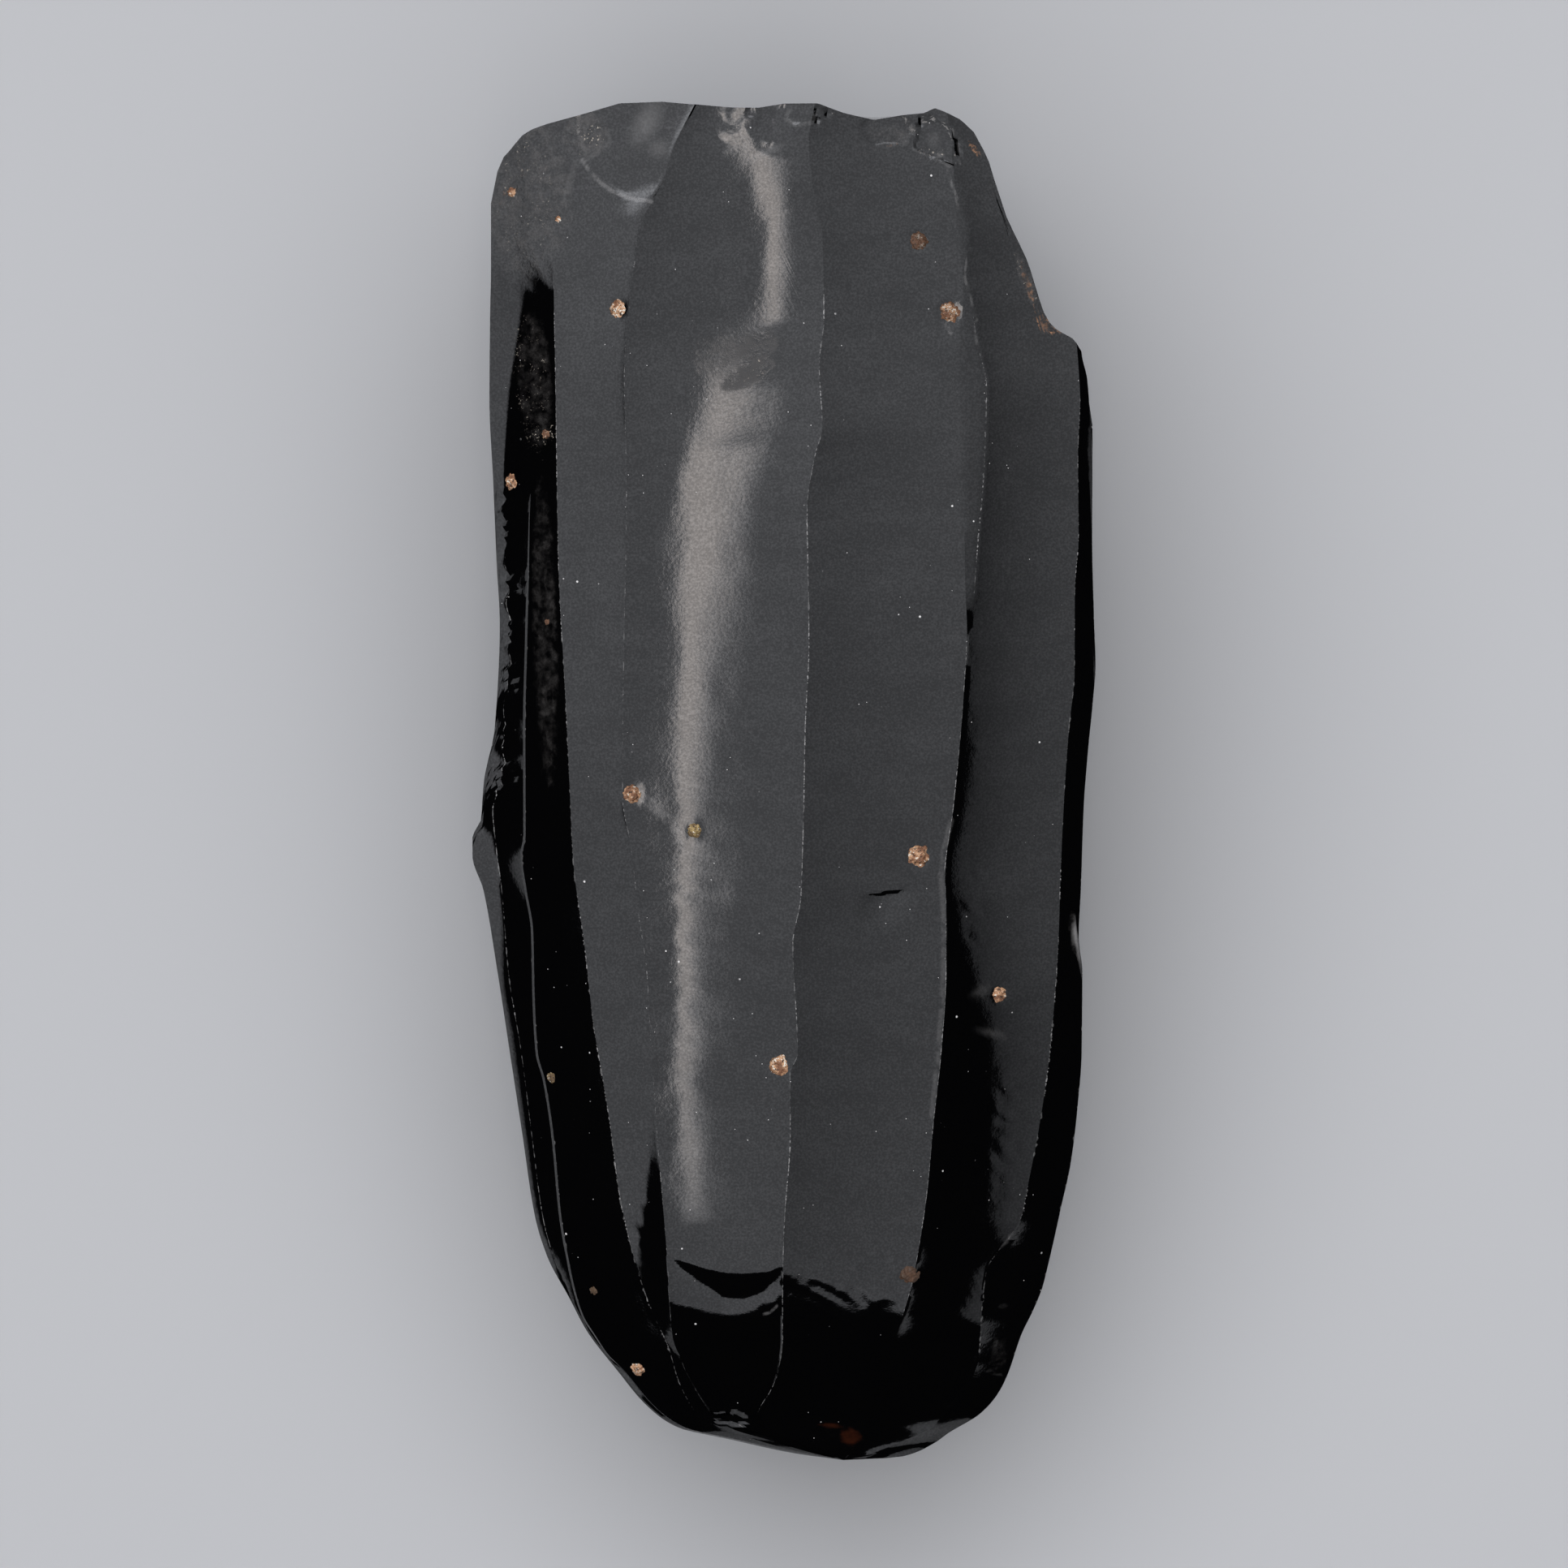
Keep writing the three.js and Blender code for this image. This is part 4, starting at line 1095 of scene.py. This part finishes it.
def add_layer(mesh, name, values):
    """A number on every point of the skin, 0 on the platform and at both poles."""
    values = np.array(values, float)
    values[BODY_ROWS:] = 0
    layer = mesh.attributes.new(name, "FLOAT", "POINT")
    layer.data.foreach_set("value", np.concatenate([[0.0], values.ravel(), [0.0]]).astype(np.float32))


def core_mesh(spots):
    grid, tip, centre, scars, shares = core_grid()
    x, y, z = grid[..., 0], grid[..., 1], grid[..., 2]
    front = (scars < FRONT_SCARS)[None, :]
    for middle, radius in spots:
        away = np.linalg.norm(grid - middle, axis=-1) / (1.25 * radius)
        dip = 0.1 * radius * np.clip(1 - away**2, 0, 1)
        z -= np.where(front, dip, -dip)
    mesh = closed_mesh("core_surface", grid, tip, centre)
    share = 100 * (y / LENGTH + 0.5)
    edges = np.zeros(x.shape)
    for name, (much, start, end) in CHIPPED_AND_GLINTING_RIDGES.items():
        column = np.flatnonzero((scars == RIDGES.index(named(name))) & (shares == 0))[0]
        at = share[:, column]
        edges[:, column] = much * step((at - start) / 2) * step((end - at) / 2)
    edges[BODY_ROWS - 1, scars < FRONT_SCARS] = 1
    add_layer(mesh, "ridge", edges)
    for name, (ovals, edge) in PATCHES.items():
        add_layer(mesh, name, patches(x, y, ovals, edge) * front)
    for name, values in zip(("near_line", "line_pale"), drawn_lines(x, y)):
        add_layer(mesh, name, values * front)
    mesh.set_sharp_from_angle(angle=SHARP_ANGLE)
    return mesh


def camera():
    data = bpy.data.cameras.new("camera")
    data.sensor_width = SENSOR
    data.lens = SENSOR * CAMERA_AWAY / VIEW_WIDTH
    data.clip_end = 100
    eye = bpy.data.objects.new("camera", data)
    eye.location = (0, VIEW_DROP, CAMERA_AWAY + depth_at(VIEW_UP))
    bpy.context.scene.collection.objects.link(eye)
    bpy.context.scene.camera = eye


def panel_light():
    """The panel overhead. Its radiance falls in a straight line to the right and by a smooth step towards the
    tip; the glow and the strip are added with smooth edges."""
    data = bpy.data.lights.new("panel", "AREA")
    data.shape = "SQUARE"
    data.size = 2 * PANEL_HEIGHT * PANEL_REACH
    data.energy = math.pi * data.size**2
    nodes = Nodes(data)
    place = nodes.add("ShaderNodeNewGeometry", {}, [], "Parametric")
    across = (place.part("X") - 0.5) * (2 * PANEL_REACH)
    up = (place.part("Y") - 0.5) * (2 * PANEL_REACH)
    spread = PLATFORM_SIDE_SHARE - TIP_SIDE_SHARE
    level = (1.05 - FALL_TO_RIGHT * across.larger(0)) * (TIP_SIDE_SHARE + spread * up.ramp(-SIDES_MEET, SIDES_MEET))
    level = level * (1 - (1 - LEFT_END_SHARE) * across.ramp(*LEFT_END))
    glow = across.ramp(*GLOW_LEFT) * across.ramp(*GLOW_RIGHT) * up.ramp(*GLOW_TIP_SIDE)
    glow = glow * up.ramp(*GLOW_PLATFORM_SIDE)
    strip = up.ramp(STRIP_FROM - STRIP_SOFTNESS, STRIP_FROM) * up.ramp(STRIP_TO, STRIP_TO - STRIP_SOFTNESS)
    strip = strip * across.ramp(STRIP_LEFT, STRIP_LEFT + STRIP_SOFTNESS)
    strip = strip * across.ramp(STRIP_RIGHT, STRIP_RIGHT - STRIP_SOFTNESS)
    radiance = PANEL_RADIANCE * level + GLOW_RADIANCE * glow + STRIP_RADIANCE * strip
    colour = nodes.mixed(glow, PANEL_COLOUR, GLOW_COLOUR)
    light = nodes.add("ShaderNodeEmission", {}, {"Color": colour, "Strength": radiance})
    nodes.add("ShaderNodeOutputLight", {}, {"Surface": light})
    lamp = bpy.data.objects.new("panel", data)
    lamp.location = (0, 0, PANEL_HEIGHT)
    bpy.context.scene.collection.objects.link(lamp)


def floor_and_world():
    made, nodes = material("floor")
    nodes.finish({"Base Color": FLOOR_COLOUR, "Roughness": 0.9})
    reach = 48.0
    corners = [(-reach, -reach, 0), (reach, -reach, 0), (reach, reach, 0), (-reach, reach, 0)]
    mesh = bpy.data.meshes.new("floor")
    mesh.from_pydata(corners, [], [(0, 1, 2, 3)])
    mesh.materials.append(made)
    floor = bpy.data.objects.new("floor", mesh)
    bpy.context.scene.collection.objects.link(floor)
    world = bpy.data.worlds.new("world")
    world.use_nodes = True
    world.node_tree.nodes["Background"].inputs["Color"].default_value = (WORLD_LEVEL,) * 3 + (1,)
    bpy.context.scene.world = world


camera()
bpy.context.scene.view_settings.view_transform = "Standard"
floor_and_world()
panel_light()

pale_crystal = crystal("spherulite_crystal", (0.58, 0.33, 0.18, 1), (0.22, 0.095, 0.045, 1))
amber_crystal = crystal("amber_crystal", (0.42, 0.3, 0.12, 1), (0.16, 0.1, 0.04, 1))
spots = []
for seed, name in enumerate(sorted(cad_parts)):
    if name == "core_body":
        continue
    low, high = (np.array(corner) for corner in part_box(name))
    middle, radius = (low + high) / 2, (high - low).max() / 2
    spots.append((middle, radius))
    amber = name in ("spherulite_middle_amber", "spherulite_lower_amber", "spherulite_tip_faint")
    mesh = lumpy_ball(name + "_grain", middle, radius, seed)
    stain = mesh.attributes.new("stained", "FLOAT", "POINT")
    stain.data.foreach_set("value", np.full(len(mesh.vertices), STAINED.get(name, 0), np.float32))
    show(mesh, amber_crystal if amber else pale_crystal, name)
show(core_mesh(spots), obsidian(), "core_body")
